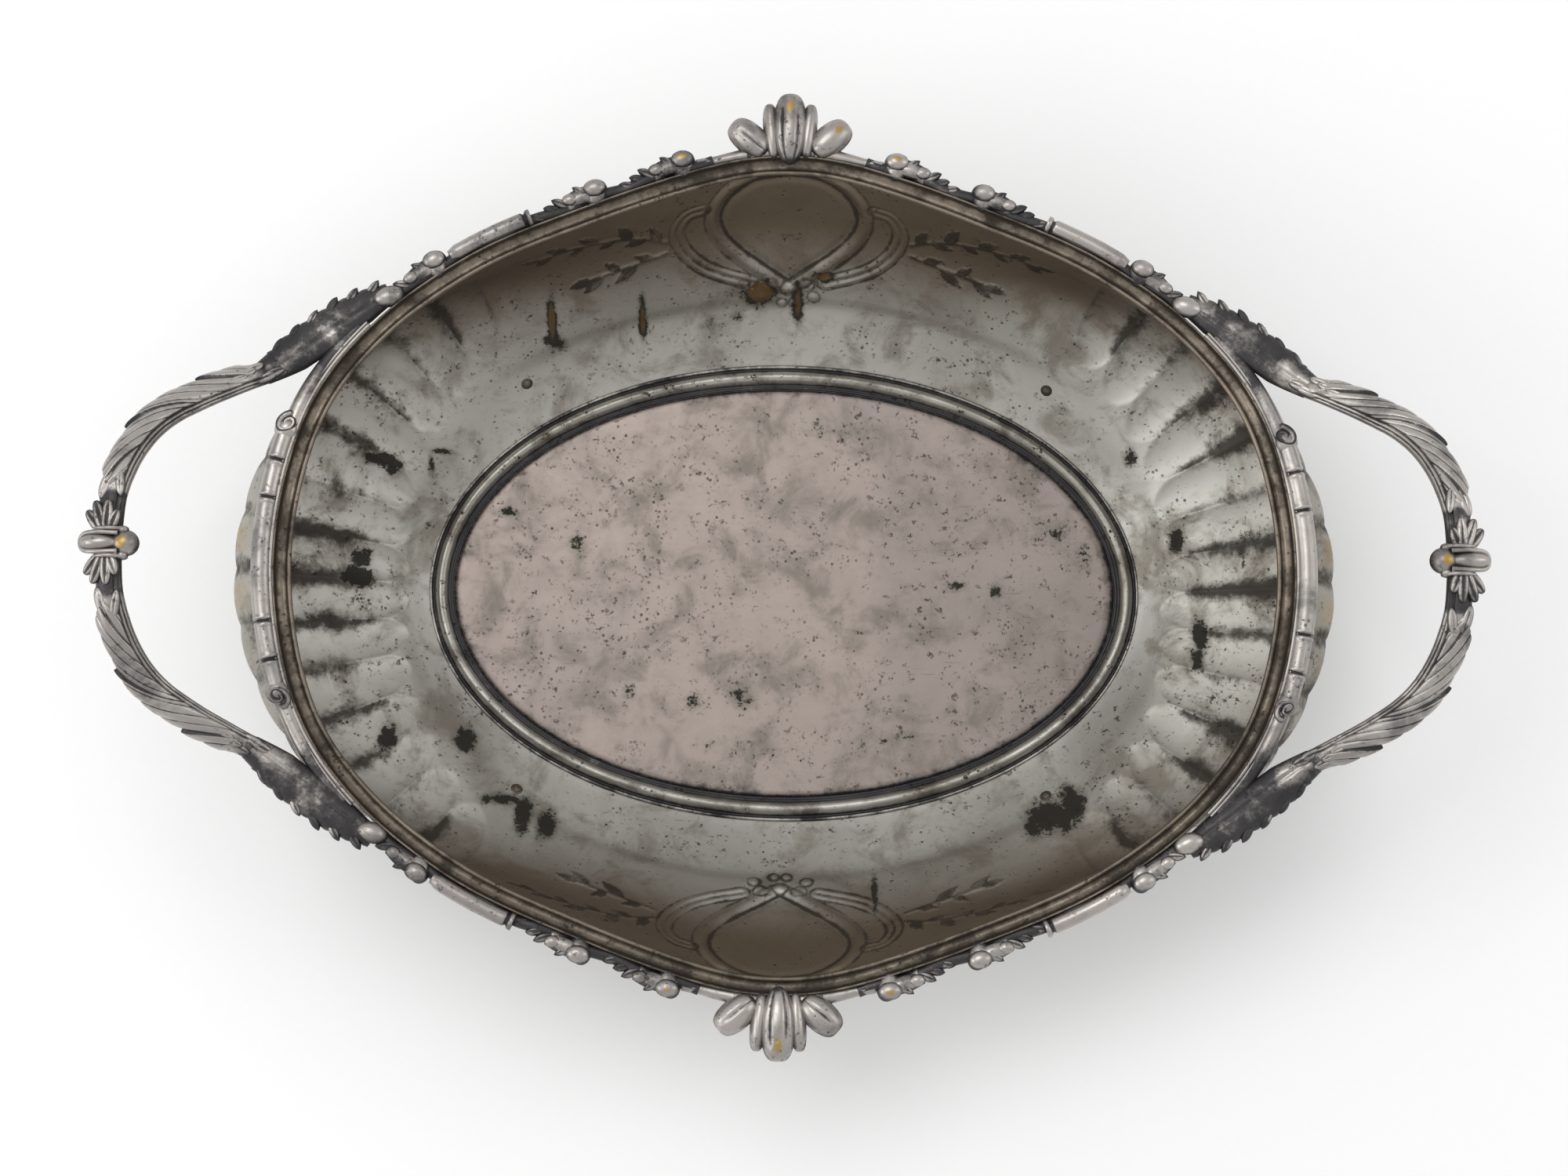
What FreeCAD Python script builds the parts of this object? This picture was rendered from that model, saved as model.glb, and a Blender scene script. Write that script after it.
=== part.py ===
import FreeCAD, Part
import math
import os

# Oval two-handled serving tray in plated sheet metal, with cast and soldered rim ornament.
# Millimetres. +X runs from handle to handle, +Y to the back crest, +Z up; the feet stand on z = 0.

os.makedirs("parts", exist_ok=True)
doc = FreeCAD.newDocument("oval_tray")
Vector = FreeCAD.Vector
UP = Vector(0, 0, 1)

DIMENSIONS = {
    # plan of the rim and of the floor, as half sizes
    "rim_half_length": 181.5,
    "rim_half_width": 150.0,
    "shoulder_half_length": 156.0,
    "shoulder_half_width": 112.0,
    "ring_half_length": 139.3,
    "ring_half_width": 91.5,
    "plate_half_length": 130.4,
    "plate_half_width": 81.0,
    "ledge_width": 5.0,
    # heights above the table
    "floor_level": 18.5,
    "shoulder_level": 33.0,
    "crest_level": 89.0,
    "end_level": 95.0,
    "handle_level": 135.0,
    # sheet metal
    "sheet": 1.5,
    "plate_thick": 1.4,
    "belly_end": 36.0,
    "belly_crest": 3.0,
    # rim band
    "band_width": 6.2,
    "band_rise": 2.6,
    "band_thick": 2.2,
    "rim_bead": 1.3,
    # end rolls
    "roll_offset": 11.3,
    "roll_radius": 3.7,
    "roll_half_span": 43.0,
    "ribbon_radius": 4.2,
    "ribbon_width": 4.6,
    "ribbon_outer_at": 35.0,
    "ribbon_inner_at": 21.5,
    "volute_radius": 4.3,
    # flank borders
    "border_offset": 9.4,
    "border_radius": 2.0,
    "flank_roll_radius": 2.8,
    "bead_large": 4.4,
    "bead_small": 3.1,
    # crests
    "crest_base_y": 160.0,
    "bud_half_width": 6.4,
    "bud_half_length": 13.0,
    "sepal_half_width": 2.7,
    "sepal_half_length": 11.0,
    "side_bud_half_width": 5.4,
    "side_bud_half_length": 8.4,
    "crest_z": 92.5,
    # handles
    "arm_width": 11.6,
    "arm_height": 8.4,
    "neck_width": 9.6,
    "collar_x": 239.4,
    "collar_length": 21.2,
    "collar_width": 12.4,
    "collar_bead": 4.6,
    "bracket_height": 8.6,
    "bracket_width": 12.6,
    # feet
    "foot_x": 102.7,
    "foot_y": 80.3,
    "foot_reach": 17.0,
    "foot_thick": 9.0,
    "toe_radius": 6.2,
    "toe_width": 15.0,
    "toe_sink": 0.9,
    "stud_radius": 2.3,
    "stud_base": 23.0,
    "stud_length": 11.0,
}

# The rim's outline in one quarter, as shares of its half length and half width.
RIM_SHAPE = (
    (1.0, 0.0),
    (0.953, 0.327),
    (0.832, 0.553),
    (0.634, 0.740),
    (0.391, 0.873),
    (0.154, 0.973),
    (0.0, 1.0),
)
RIM_STATIONS = 48
WALL_LEVELS = (0.0, 0.1, 0.2, 0.32, 0.45, 0.58, 0.72, 0.86, 1.0, 1.14)
BELLY_POWER = 1.3
CLEARANCE = 0.15
BAND_LIP = 0.6
DRILL_DEPTH = 30.0

# Sections taken round as closed mouldings: out from the plate's edge, and height over the seat.
RING_SECTION = (
    (0.6, 0.0),
    (0.7, 1.4),
    (1.6, 1.7),
    (2.5, 3.2),
    (4.6, 4.4),
    (6.7, 4.0),
    (7.7, 2.8),
    (8.6, 3.3),
    (8.9, 2.9),
    (8.0, 2.1),
    (1.4, 0.0),
)

# The border's beads on one flank: place in x, and the cell that holds the bead's radius.
FLANK_BEADS = (
    (37.0, "bead_large"),
    (47.2, "bead_small"),
    (68.8, "bead_large"),
    (77.9, "bead_small"),
    (122.0, "bead_large"),
    (130.0, "bead_small"),
)
FLANK_STEM = (33.0, 131.0)
FLANK_ROLL = (91.0, 119.0)

sheet = doc.addObject("Spreadsheet::Sheet", "Dimensions")
for row, (alias, value) in enumerate(DIMENSIONS.items(), start=1):
    sheet.set(f"A{row}", alias)
    sheet.set(f"B{row}", str(value))
    sheet.setAlias(f"B{row}", alias)
doc.recompute()

NODES = []


def dim(alias):
    """One driving dimension, read from the sheet."""
    return float(sheet.get(alias))


def bind(item, **formulas):
    """Ties an object's properties to cells, named in a formula as Dimensions.alias."""
    for name, formula in formulas.items():
        item.setExpression(name, formula)


def keep(item, label):
    """Names a finished sub-part."""
    item.Label = label
    NODES.append(item)
    return item


def feature(label, shape):
    """A sub-part whose shape comes from Part's own functions."""
    item = doc.addObject("Part::Feature", label)
    item.Shape = shape
    item.Placement = FreeCAD.Placement()
    return keep(item, label)


# ---------------------------------------------------------------- plan curves


def smooth_loop(points):
    """A closed smooth curve through the points."""
    curve = Part.BSplineCurve()
    curve.interpolate(Points=points, PeriodicFlag=True)
    return curve


def rim_outline():
    """The rim's inner edge all the way round, anticlockwise from the +X end."""
    half_x, half_y = dim("rim_half_length"), dim("rim_half_width")
    quarter = [(x * half_x, y * half_y) for x, y in RIM_SHAPE]
    left = [(-x, y) for x, y in reversed(quarter[:-1])]
    half = quarter + left
    lower = [(x, -y) for x, y in reversed(half[1:-1])]
    return smooth_loop([Vector(x, y, 0) for x, y in half + lower])


RIM = rim_outline()


def rim_height(x):
    """The height of the wall's top edge, lowest at the crests and highest at the ends."""
    share = min(abs(x) / dim("rim_half_length"), 1.0)
    rise = dim("end_level") - dim("crest_level")
    return dim("crest_level") + rise * share**2


def rim_station(share, offset=0.0):
    """A point at a share of the way round the rim, moved outwards, with its outward direction."""
    first, last = RIM.FirstParameter, RIM.LastParameter
    at = first + (last - first) * (share % 1.0)
    along = RIM.tangent(at)[0]
    outward = Vector(along.y, -along.x, 0).normalize()
    return RIM.value(at) + outward * offset, outward


def share_at(test, low, high):
    """The share of the way round where test changes from true to false, by halving."""
    for _ in range(40):
        middle = (low + high) / 2
        if test(rim_station(middle)[0]):
            low = middle
        else:
            high = middle
    return (low + high) / 2


def share_at_y(y):
    """Where the first quarter of the rim passes a given y."""
    return share_at(lambda p: p.y < y, 0.0, 0.25)


def share_at_x(x):
    """Where the first quarter of the rim passes a given x."""
    return share_at(lambda p: p.x > x, 0.0, 0.25)


def rim_path(start, end, offset, lift, count=9):
    """Points beside a stretch of the rim, at the rim's own height plus lift."""
    points = []
    for i in range(count):
        p, _ = rim_station(start + (end - start) * i / (count - 1), offset)
        points.append(Vector(p.x, p.y, rim_height(p.x) + lift))
    return points


# ---------------------------------------------------------------- solids along curves


def facing_out(shape):
    """The shape's one solid, with its faces looking outwards."""
    solid = shape.Solids[0] if shape.Solids else Part.makeSolid(Part.Shell(shape.Faces))
    if solid.Volume < 0:
        solid.reverse()
    return solid


def open_curve(points):
    """A smooth open curve through the points."""
    curve = Part.BSplineCurve()
    curve.interpolate(Points=points)
    return curve


def oval_wire(centre, along, width, height):
    """An ellipse across a path: width lies level, height stands up."""
    across = UP.cross(along).normalize()
    upright = along.cross(across).normalize()
    if width >= height:
        ellipse = Part.Ellipse(centre + across * width / 2, centre + upright * height / 2, centre)
    else:
        ellipse = Part.Ellipse(centre + upright * height / 2, centre - across * width / 2, centre)
    return Part.Wire([ellipse.toShape()])


def swept_bar(points, sizes):
    """A solid bar of oval section along the points; sizes gives width and height at even steps."""
    curve = open_curve(points)
    first, last = curve.FirstParameter, curve.LastParameter
    wires = []
    for i, (width, height) in enumerate(sizes):
        at = first + (last - first) * i / (len(sizes) - 1)
        along = curve.tangent(at)[0]
        wires.append(oval_wire(curve.value(at), along, width, height))
    return facing_out(Part.makeLoft(wires, True, False))


def round_bar(points, radius):
    """A round bar along the points."""
    curve = open_curve(points)
    start = curve.value(curve.FirstParameter)
    along = curve.tangent(curve.FirstParameter)[0]
    ring = Part.Wire([Part.Circle(start, along, radius).toShape()])
    return facing_out(Part.Wire([curve.toShape()]).makePipeShell([ring], True, True))


def bud(centre, direction, half_length, half_width):
    """An egg-shaped bud with small flat tips, lofted through circles along its long axis."""
    along = Vector(direction).normalize()
    tip, stations = math.radians(14), 9
    wires = []
    for i in range(stations):
        angle = tip + (math.pi - 2 * tip) * i / (stations - 1)
        place = centre - along * (half_length * math.cos(angle) / math.cos(tip))
        circle = Part.Circle(place, along, half_width * math.sin(angle))
        wires.append(Part.Wire([circle.toShape()]))
    return facing_out(Part.makeLoft(wires, True, False))


def bead(points, radius):
    """A round bead at the first of two points, strung towards the second."""
    return bud(points[0], points[1] - points[0], radius, radius)


def one_solid(shapes):
    """Fuses pieces that are cast together."""
    return facing_out(shapes[0].multiFuse(shapes[1:]))


def in_quarter(shape, sign_x, sign_y):
    """A shape made in the +X +Y quarter, mirrored into another quarter."""
    origin = Vector(0, 0, 0)
    if sign_x < 0:
        shape = shape.mirror(origin, Vector(1, 0, 0))
    if sign_y < 0:
        shape = shape.mirror(origin, Vector(0, 1, 0))
    return facing_out(shape)


# ---------------------------------------------------------------- bowl


def ellipse_point(angle, half_x, half_y):
    return half_x * math.cos(angle), half_y * math.sin(angle)


def wall_section(level, inset):
    """The wall's outline at a share of its height, moved inwards by inset."""
    points = []
    for i in range(RIM_STATIONS):
        rim_point, outward = rim_station(i / RIM_STATIONS, dim("sheet"))
        angle = math.atan2(rim_point.y / dim("rim_half_width"), rim_point.x / dim("rim_half_length"))
        foot_x, foot_y = ellipse_point(angle, dim("shoulder_half_length"), dim("shoulder_half_width"))
        end_share = abs(math.cos(angle)) ** 3
        belly = dim("belly_crest") + (dim("belly_end") - dim("belly_crest")) * end_share
        swell = belly * math.sin(math.pi * min(level, 1.0)) ** BELLY_POWER - inset
        x = foot_x + (rim_point.x - foot_x) * level + outward.x * swell
        y = foot_y + (rim_point.y - foot_y) * level + outward.y * swell
        points.append(Vector(x, y, 0))
    return points


def oval_section(half_x, half_y, inset):
    """A plain ellipse with the same stations as the wall sections."""
    points = []
    for p in wall_section(0.0, 0.0):
        angle = math.atan2(p.y / dim("shoulder_half_width"), p.x / dim("shoulder_half_length"))
        x, y = ellipse_point(angle, half_x - inset, half_y - inset)
        points.append(Vector(x, y, 0))
    return points


def section_wire(points, level):
    return Part.Wire([smooth_loop([p + UP * level for p in points]).toShape()])


def bowl_skin(inset, lift):
    """A solid bowl form; the bowl is what lies between two of them."""
    floor, shoulder, top = dim("floor_level"), dim("shoulder_level"), dim("end_level")
    half_x, half_y = dim("ring_half_length"), dim("ring_half_width")
    wires = [
        section_wire(oval_section(half_x - 6.0, half_y - 6.0, inset), floor + lift),
        section_wire(oval_section(half_x + 1.0, half_y + 1.0, inset), floor + 2.0 + lift),
    ]
    for level in WALL_LEVELS:
        height = shoulder + (top - shoulder) * level + lift * (1.0 - min(level, 1.0))
        wires.append(section_wire(wall_section(level, inset), height))
    return Part.makeLoft(wires, True, True)


def above_rim():
    """Everything above the wall's wavy top edge."""
    reach, over = 260.0, 60.0
    crest = dim("crest_level")
    end_at = dim("rim_half_length")
    arc = Part.Arc(
        Vector(-end_at, -reach, dim("end_level")),
        Vector(0, -reach, crest),
        Vector(end_at, -reach, dim("end_level")),
    ).toShape()
    corners = [
        Vector(end_at, -reach, dim("end_level")),
        Vector(reach, -reach, dim("end_level")),
        Vector(reach, -reach, crest + over),
        Vector(-reach, -reach, crest + over),
        Vector(-reach, -reach, dim("end_level")),
        Vector(-end_at, -reach, dim("end_level")),
    ]
    edges = [arc] + [Part.makeLine(a, b) for a, b in zip(corners, corners[1:])]
    face = Part.Face(Part.Wire(Part.__sortEdges__(edges)))
    return face.extrude(Vector(0, 2 * reach, 0))


def oval_prism(half_x, half_y, low, high):
    ellipse = Part.Ellipse(Vector(0, 0, low), half_x, half_y)
    return Part.Face(Part.Wire([ellipse.toShape()])).extrude(Vector(0, 0, high - low))


def make_bowl():
    """The raised sheet bowl, open at the middle of its floor for the plate."""
    hollow = bowl_skin(dim("sheet"), dim("sheet"))
    shell = bowl_skin(0.0, 0.0).cut(hollow).cut(above_rim())
    ledge = dim("ledge_width")
    mouth = oval_prism(
        dim("plate_half_length") - ledge,
        dim("plate_half_width") - ledge,
        dim("floor_level") - 5.0,
        dim("floor_level") + 5.0,
    )
    return feature("bowl", shell.cut(mouth).cut(Part.Compound(stud_drills())))


def foot_places():
    """The four places of the feet: name, side in x and side in y."""
    return [
        (f"{end}_{side}", sign_x, sign_y)
        for end, sign_y in (("front", -1), ("back", 1))
        for side, sign_x in (("left", -1), ("right", 1))
    ]


def at_feet(radius, base, length):
    """One upright cylinder at each foot's stud."""
    return [
        Part.makeCylinder(radius, length, Vector(sx * dim("foot_x"), sy * dim("foot_y"), base))
        for _, sx, sy in foot_places()
    ]


def stud_drills():
    """The drills that clear the studs through the bowl and the tops of the feet."""
    return at_feet(dim("stud_radius") + CLEARANCE, dim("floor_level"), DRILL_DEPTH)


# ---------------------------------------------------------------- floor


def make_floor_plate():
    """The flat oval plate that closes the middle of the floor."""
    outline = doc.addObject("Part::Ellipse", "PlateOutline")
    bind(
        outline,
        MajorRadius="Dimensions.plate_half_length",
        MinorRadius="Dimensions.plate_half_width",
    )
    outline.Placement.Base = Vector(0, 0, dim("floor_level") + dim("sheet") + CLEARANCE)
    plate = doc.addObject("Part::Extrusion", "FloorPlate")
    plate.Base = outline
    plate.DirMode = "Custom"
    plate.Dir = UP
    plate.Solid = True
    bind(plate, LengthFwd="Dimensions.plate_thick")
    return keep(plate, "floor_plate")


def loop_solid(label, wires):
    """A closed moulding: each wire is one corner of its section carried all the way round."""
    skin = Part.makeLoft(wires, False, True, True)
    return feature(label, facing_out(skin))


def make_floor_ring():
    """The half-round moulding that covers the seam between bowl and floor plate."""
    seat = dim("floor_level") + dim("sheet") + 2 * CLEARANCE
    wires = []
    for out, height in RING_SECTION:
        half_x = dim("plate_half_length") + out
        half_y = dim("plate_half_width") + out
        wires.append(section_wire(oval_section(half_x, half_y, 0.0), seat + height))
    return loop_solid("floor_ring", wires)


# ---------------------------------------------------------------- rim


def rim_wire(offset, lift):
    """A closed wire beside the rim's inner edge, riding on its height."""
    points = []
    for i in range(RIM_STATIONS):
        p, _ = rim_station(i / RIM_STATIONS, offset)
        height = rim_height(rim_station(i / RIM_STATIONS)[0].x)
        points.append(Vector(p.x, p.y, height + lift))
    return Part.Wire([smooth_loop(points).toShape()])


def make_rim_band():
    """The coved band round the mouth, with a thin lip inside and a bead outside."""
    width, rise = dim("band_width"), dim("band_rise")
    thick, bead = dim("band_thick"), dim("rim_bead")
    section = (
        (0.0, CLEARANCE),
        (-0.3, 1.2),
        (0.7, 1.7),
        (2.0, 1.1),
        (width * 0.6, rise * 0.55),
        (width - 1.6, rise),
        (width - 0.9, rise + bead),
        (width + 0.3, rise + bead * 0.6),
        (width + 0.3, rise - thick * 0.6),
        (width * 0.6, rise * 0.4 - thick * 0.8),
        (2.1, CLEARANCE),
    )
    return loop_solid("rim_band", [rim_wire(out, lift) for out, lift in section])


def make_end_roll(side, sign):
    """The reed-bound roll soldered outside each end of the rim, with a volute at each end."""
    offset, radius = dim("roll_offset"), dim("roll_radius")
    limit = share_at_y(dim("roll_half_span"))
    lift = dim("band_rise")
    points = rim_path(-limit, limit, offset, lift)
    pieces = [round_bar(points, radius)]
    for y in (dim("ribbon_outer_at"), dim("ribbon_inner_at")):
        at = share_at_y(y)
        half = at * dim("ribbon_width") / y / 2
        for direction in (-1, 1):
            band = rim_path(direction * at - half, direction * at + half, offset, lift, 3)
            pieces.append(round_bar(band, dim("ribbon_radius")))
    for end in (points[:2], points[:-3:-1]):
        pieces.append(bead(end, dim("volute_radius")))
    return feature(f"end_roll_{side}", in_quarter(one_solid(pieces), sign, 1))


def flank_border():
    """One quarter's cast border: a thin stem with beads, small beads and a plain roll."""
    offset = dim("border_offset")
    stem_low, stem_high = FLANK_STEM
    roll_low, roll_high = FLANK_ROLL
    stem = rim_path(share_at_x(stem_high), share_at_x(stem_low), offset, 1.6, 13)
    roll = rim_path(share_at_x(roll_high), share_at_x(roll_low), offset + 0.5, 2.4, 5)
    pieces = [round_bar(stem, dim("border_radius")), round_bar(roll, dim("flank_roll_radius"))]
    for x, cell in FLANK_BEADS:
        radius = dim(cell)
        spot = rim_path(share_at_x(x), share_at_x(x - 1), radius + dim("band_width") + BAND_LIP + 0.1, 2.4, 2)
        pieces.append(bead(spot, radius))
    return one_solid(pieces)


def crest():
    """The palmette on a crest: a tall central bud, two sepals and two side buds on a cast foot."""
    z = dim("crest_z")
    base_y = dim("crest_base_y")
    width = dim("bud_half_width")
    outwards = Vector(0, 1, 0.06)
    pieces = [bud(Vector(0, base_y + 7.0, z), outwards, dim("bud_half_length"), width)]
    sepal, side_bud = dim("sepal_half_length"), dim("side_bud_half_length")
    for side in (-1, 1):
        lean = Vector(side * 0.10, 1, 0.05)
        place = Vector(side * (width + 0.6), base_y + 5.5, z - 0.6)
        pieces.append(bud(place, lean, sepal, dim("sepal_half_width")))
        lean = Vector(side * 0.80, 1, 0)
        place = Vector(side * 15.4, base_y + 3.6, z - 1.2)
        pieces.append(bud(place, lean, side_bud, dim("side_bud_half_width")))
    foot = Part.makeBox(26, 5.6, 4.4, Vector(-13, base_y - 3.0, z - 4.4))
    inner_face = dim("rim_half_width") + dim("band_width") + BAND_LIP + dim("rim_bead")
    over_band = Part.makeBox(60, 40, 40, Vector(-30, inner_face - 40, z - 20))
    return facing_out(one_solid([foot] + pieces).cut(over_band))


# ---------------------------------------------------------------- handles


def handle_path():
    """The centreline of a handle in one quarter, from its root at the rim to the middle of its bow."""
    top, root = dim("handle_level"), dim("end_level")
    rise = top - root
    plan = (
        (194.5, 68.0, 0.13),
        (213.0, 59.0, 0.34),
        (223.0, 52.5, 0.48),
        (230.5, 44.0, 0.64),
        (236.0, 32.0, 0.81),
        (238.8, 18.0, 0.95),
        (239.2, 6.6, 1.0),
    )
    return [Vector(x, y, root + rise * share) for x, y, share in plan]


def handle_arm():
    """One leaf-clad arm of a handle, from the seam at its root to the collar."""
    width, tall, neck = dim("arm_width"), dim("arm_height"), dim("neck_width")
    sizes = [
        (width * 0.72, tall * 0.8),
        (width * 0.86, tall * 0.95),
        (width, tall),
        (width, tall),
        (width * 0.98, tall),
        (neck, tall * 0.92),
        (neck, tall * 0.9),
    ]
    return swept_bar(handle_path(), sizes)


def handle_bracket():
    """The cast root that carries the handle along the outside of the rim."""
    tall, width = dim("bracket_height"), dim("bracket_width")
    edge = dim("band_width") + BAND_LIP
    seam, next_point = handle_path()[:2]
    seam = seam + (seam - next_point).normalize() * 1.3
    points = [seam]
    for x, share in ((161.0, 1.1), (155.0, 1.0), (148.0, 0.92), (141.0, 0.7)):
        at = share_at_x(x)
        points += rim_path(at, at, edge + width * share / 2, 1.6, 2)[:1]
    sizes = [
        (8.2, 6.6),
        (width * 0.95, tall),
        (width, tall),
        (width * 0.92, tall),
        (width * 0.6, tall * 0.8),
    ]
    scroll = bead([points[-1] + Vector(2.0, 2.0, 0.6), points[-2]], dim("volute_radius"))
    return one_solid([swept_bar(points, sizes), scroll])


def handle_collar():
    """The collar at the middle of a handle: a rounded tongue outwards and a round bead inwards."""
    x, level = dim("collar_x"), dim("handle_level")
    tongue = bud(Vector(x, 0, level), Vector(1, 0, 0), dim("collar_length") / 2, dim("collar_width") / 2)
    inner = Vector(x - 6.6, 0, level - 0.3)
    return one_solid([tongue, bead([inner, inner + Vector(1, 0, 0)], dim("collar_bead"))])


# ---------------------------------------------------------------- feet


def origin_plane(body, role):
    return next(item for item in body.Origin.OriginFeatures if item.Role == role)


def polygon_sketch(body, name, corners):
    """A closed outline on the body's own XZ plane."""
    sketch = body.newObject("Sketcher::SketchObject", name)
    sketch.AttachmentSupport = [(origin_plane(body, "XZ_Plane"), "")]
    sketch.MapMode = "FlatFace"
    count = len(corners)
    for i in range(count):
        start, end = corners[i], corners[(i + 1) % count]
        sketch.addGeometry(Part.LineSegment(Vector(*start, 0), Vector(*end, 0)), False)
    return sketch


def make_foot(name, sign_x, sign_y, bowl_form):
    """A cast scroll foot: an S-shaped leg that stands out to a rolled toe, fitted under the bowl."""
    body = doc.addObject("PartDesign::Body", f"FootBody_{name}")
    reach, toe = dim("foot_reach"), dim("toe_radius")
    outline = (
        (-7.0, 40.0),
        (-7.0, 27.0),
        (-1.0, 18.0),
        (reach * 0.4, 9.0),
        (reach * 0.65, 2.0),
        (reach + 1.0, 2.0),
        (reach + 2.0, 7.0),
        (reach * 0.7, 15.0),
        (9.5, 24.0),
        (10.5, 40.0),
    )
    sketch = polygon_sketch(body, "LegOutline", outline)
    leg = body.newObject("PartDesign::Pad", "Leg")
    leg.Profile = sketch
    leg.Midplane = True
    bind(leg, Length="Dimensions.foot_thick")
    roll = body.newObject("PartDesign::AdditiveCylinder", "Toe")
    bind(roll, Radius="Dimensions.toe_radius", Height="Dimensions.toe_width")
    turn = FreeCAD.Rotation(Vector(1, 0, 0), 90)
    centre = Vector(reach, dim("toe_width") / 2, toe - dim("toe_sink"))
    roll.Placement = FreeCAD.Placement(centre, turn)
    body.Tip = roll
    outward = math.degrees(math.atan2(sign_y * dim("foot_y"), sign_x * dim("foot_x")))
    body.Placement = FreeCAD.Placement(
        Vector(sign_x * dim("foot_x"), sign_y * dim("foot_y"), 0),
        FreeCAD.Rotation(UP, outward),
    )
    foot = doc.addObject("Part::Cut", f"Foot_{name}")
    foot.Base = body
    foot.Tool = bowl_form
    return keep(foot, f"foot_{name}")


def make_bowl_form():
    """The tool that trims the feet: the bowl's underside, the table and the stud holes."""
    block = Part.makeBox(400, 400, 10, Vector(-200, -200, -10))
    form = bowl_skin(-CLEARANCE, -CLEARANCE)
    tool = doc.addObject("Part::Feature", "FootTrim")
    tool.Shape = form.multiFuse([block] + stud_drills())
    return tool


def make_foot_studs():
    """The riveted studs that hold the feet, seen as small discs on the inside of the bowl."""
    studs = at_feet(dim("stud_radius"), dim("stud_base"), dim("stud_length"))
    return feature("foot_studs", Part.Compound(studs))


# ---------------------------------------------------------------- build

make_bowl()
make_floor_plate()
make_floor_ring()
make_rim_band()
quarter_parts = {
    "flank_border": flank_border(),
    "handle_arm": handle_arm(),
    "handle_bracket": handle_bracket(),
}
collar_shape = handle_collar()
for end, end_sign in (("left", -1), ("right", 1)):
    make_end_roll(end, end_sign)
    feature(f"handle_collar_{end}", in_quarter(collar_shape, end_sign, 1))
    for flank, flank_sign in (("front", -1), ("back", 1)):
        for part_name, part_shape in quarter_parts.items():
            feature(f"{part_name}_{flank}_{end}", in_quarter(part_shape, end_sign, flank_sign))
crest_shape = crest()
for flank, flank_sign in (("front", -1), ("back", 1)):
    feature(f"crest_{flank}", in_quarter(crest_shape, 1, flank_sign))
foot_trim = make_bowl_form()
for place_name, place_x, place_y in foot_places():
    make_foot(place_name, place_x, place_y, foot_trim)
make_foot_studs()
doc.recompute()

# ---------------------------------------------------------------- checks and export

for item in doc.Objects:
    if "Invalid" in item.State or "Error" in item.State:
        raise RuntimeError(f"{item.Name} did not recompute: {item.State}")
for item in NODES:
    if item.Shape.isNull() or not item.Shape.isValid() or item.Shape.Volume <= 0:
        raise RuntimeError(f"{item.Label} has no valid solid")
for item in NODES:
    item.Shape.exportStep(f"parts/{item.Label}.step")
print(len(NODES), "sub-parts written")
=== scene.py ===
import math

import bmesh
import bpy
import numpy as np
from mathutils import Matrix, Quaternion, Vector


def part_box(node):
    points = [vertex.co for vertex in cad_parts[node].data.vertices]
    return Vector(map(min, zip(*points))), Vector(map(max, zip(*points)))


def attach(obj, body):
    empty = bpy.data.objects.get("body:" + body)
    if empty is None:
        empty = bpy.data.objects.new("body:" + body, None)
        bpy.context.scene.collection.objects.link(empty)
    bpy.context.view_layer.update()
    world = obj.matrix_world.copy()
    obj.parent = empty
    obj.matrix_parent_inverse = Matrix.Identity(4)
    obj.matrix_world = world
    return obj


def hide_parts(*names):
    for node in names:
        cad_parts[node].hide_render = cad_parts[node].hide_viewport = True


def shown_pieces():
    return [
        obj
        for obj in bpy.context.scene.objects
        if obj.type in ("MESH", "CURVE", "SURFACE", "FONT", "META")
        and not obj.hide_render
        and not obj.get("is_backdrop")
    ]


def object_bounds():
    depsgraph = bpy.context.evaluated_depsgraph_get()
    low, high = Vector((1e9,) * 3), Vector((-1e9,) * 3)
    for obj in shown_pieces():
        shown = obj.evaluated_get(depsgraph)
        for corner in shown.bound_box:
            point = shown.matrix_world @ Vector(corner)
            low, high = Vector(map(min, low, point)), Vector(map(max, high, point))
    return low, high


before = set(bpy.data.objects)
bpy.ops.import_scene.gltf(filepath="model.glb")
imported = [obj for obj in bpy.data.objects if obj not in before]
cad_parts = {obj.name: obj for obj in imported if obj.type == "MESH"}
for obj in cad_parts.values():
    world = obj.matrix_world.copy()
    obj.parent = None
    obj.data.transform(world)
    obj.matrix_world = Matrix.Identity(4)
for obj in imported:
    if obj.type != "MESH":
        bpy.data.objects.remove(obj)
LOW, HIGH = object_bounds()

# The looks of the oval silver-plate tray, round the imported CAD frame. Shape sizes are in millimetres
# and are turned into metres where a mesh is made. Places on the rim are distances along its inner
# edge from the +X end. Shapes that repeat are made on the side where x and y are positive.

MM = 0.001
WELD = 0.001  # points closer together than this, in millimetres, are joined
UP = np.array((0, 0, 1.0))

# ---- driving sizes, from the frame


def frame_box(node):
    """A CAD node's lowest and highest corners in millimetres."""
    low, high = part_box(node)
    return np.array(low) / MM, np.array(high) / MM


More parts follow.
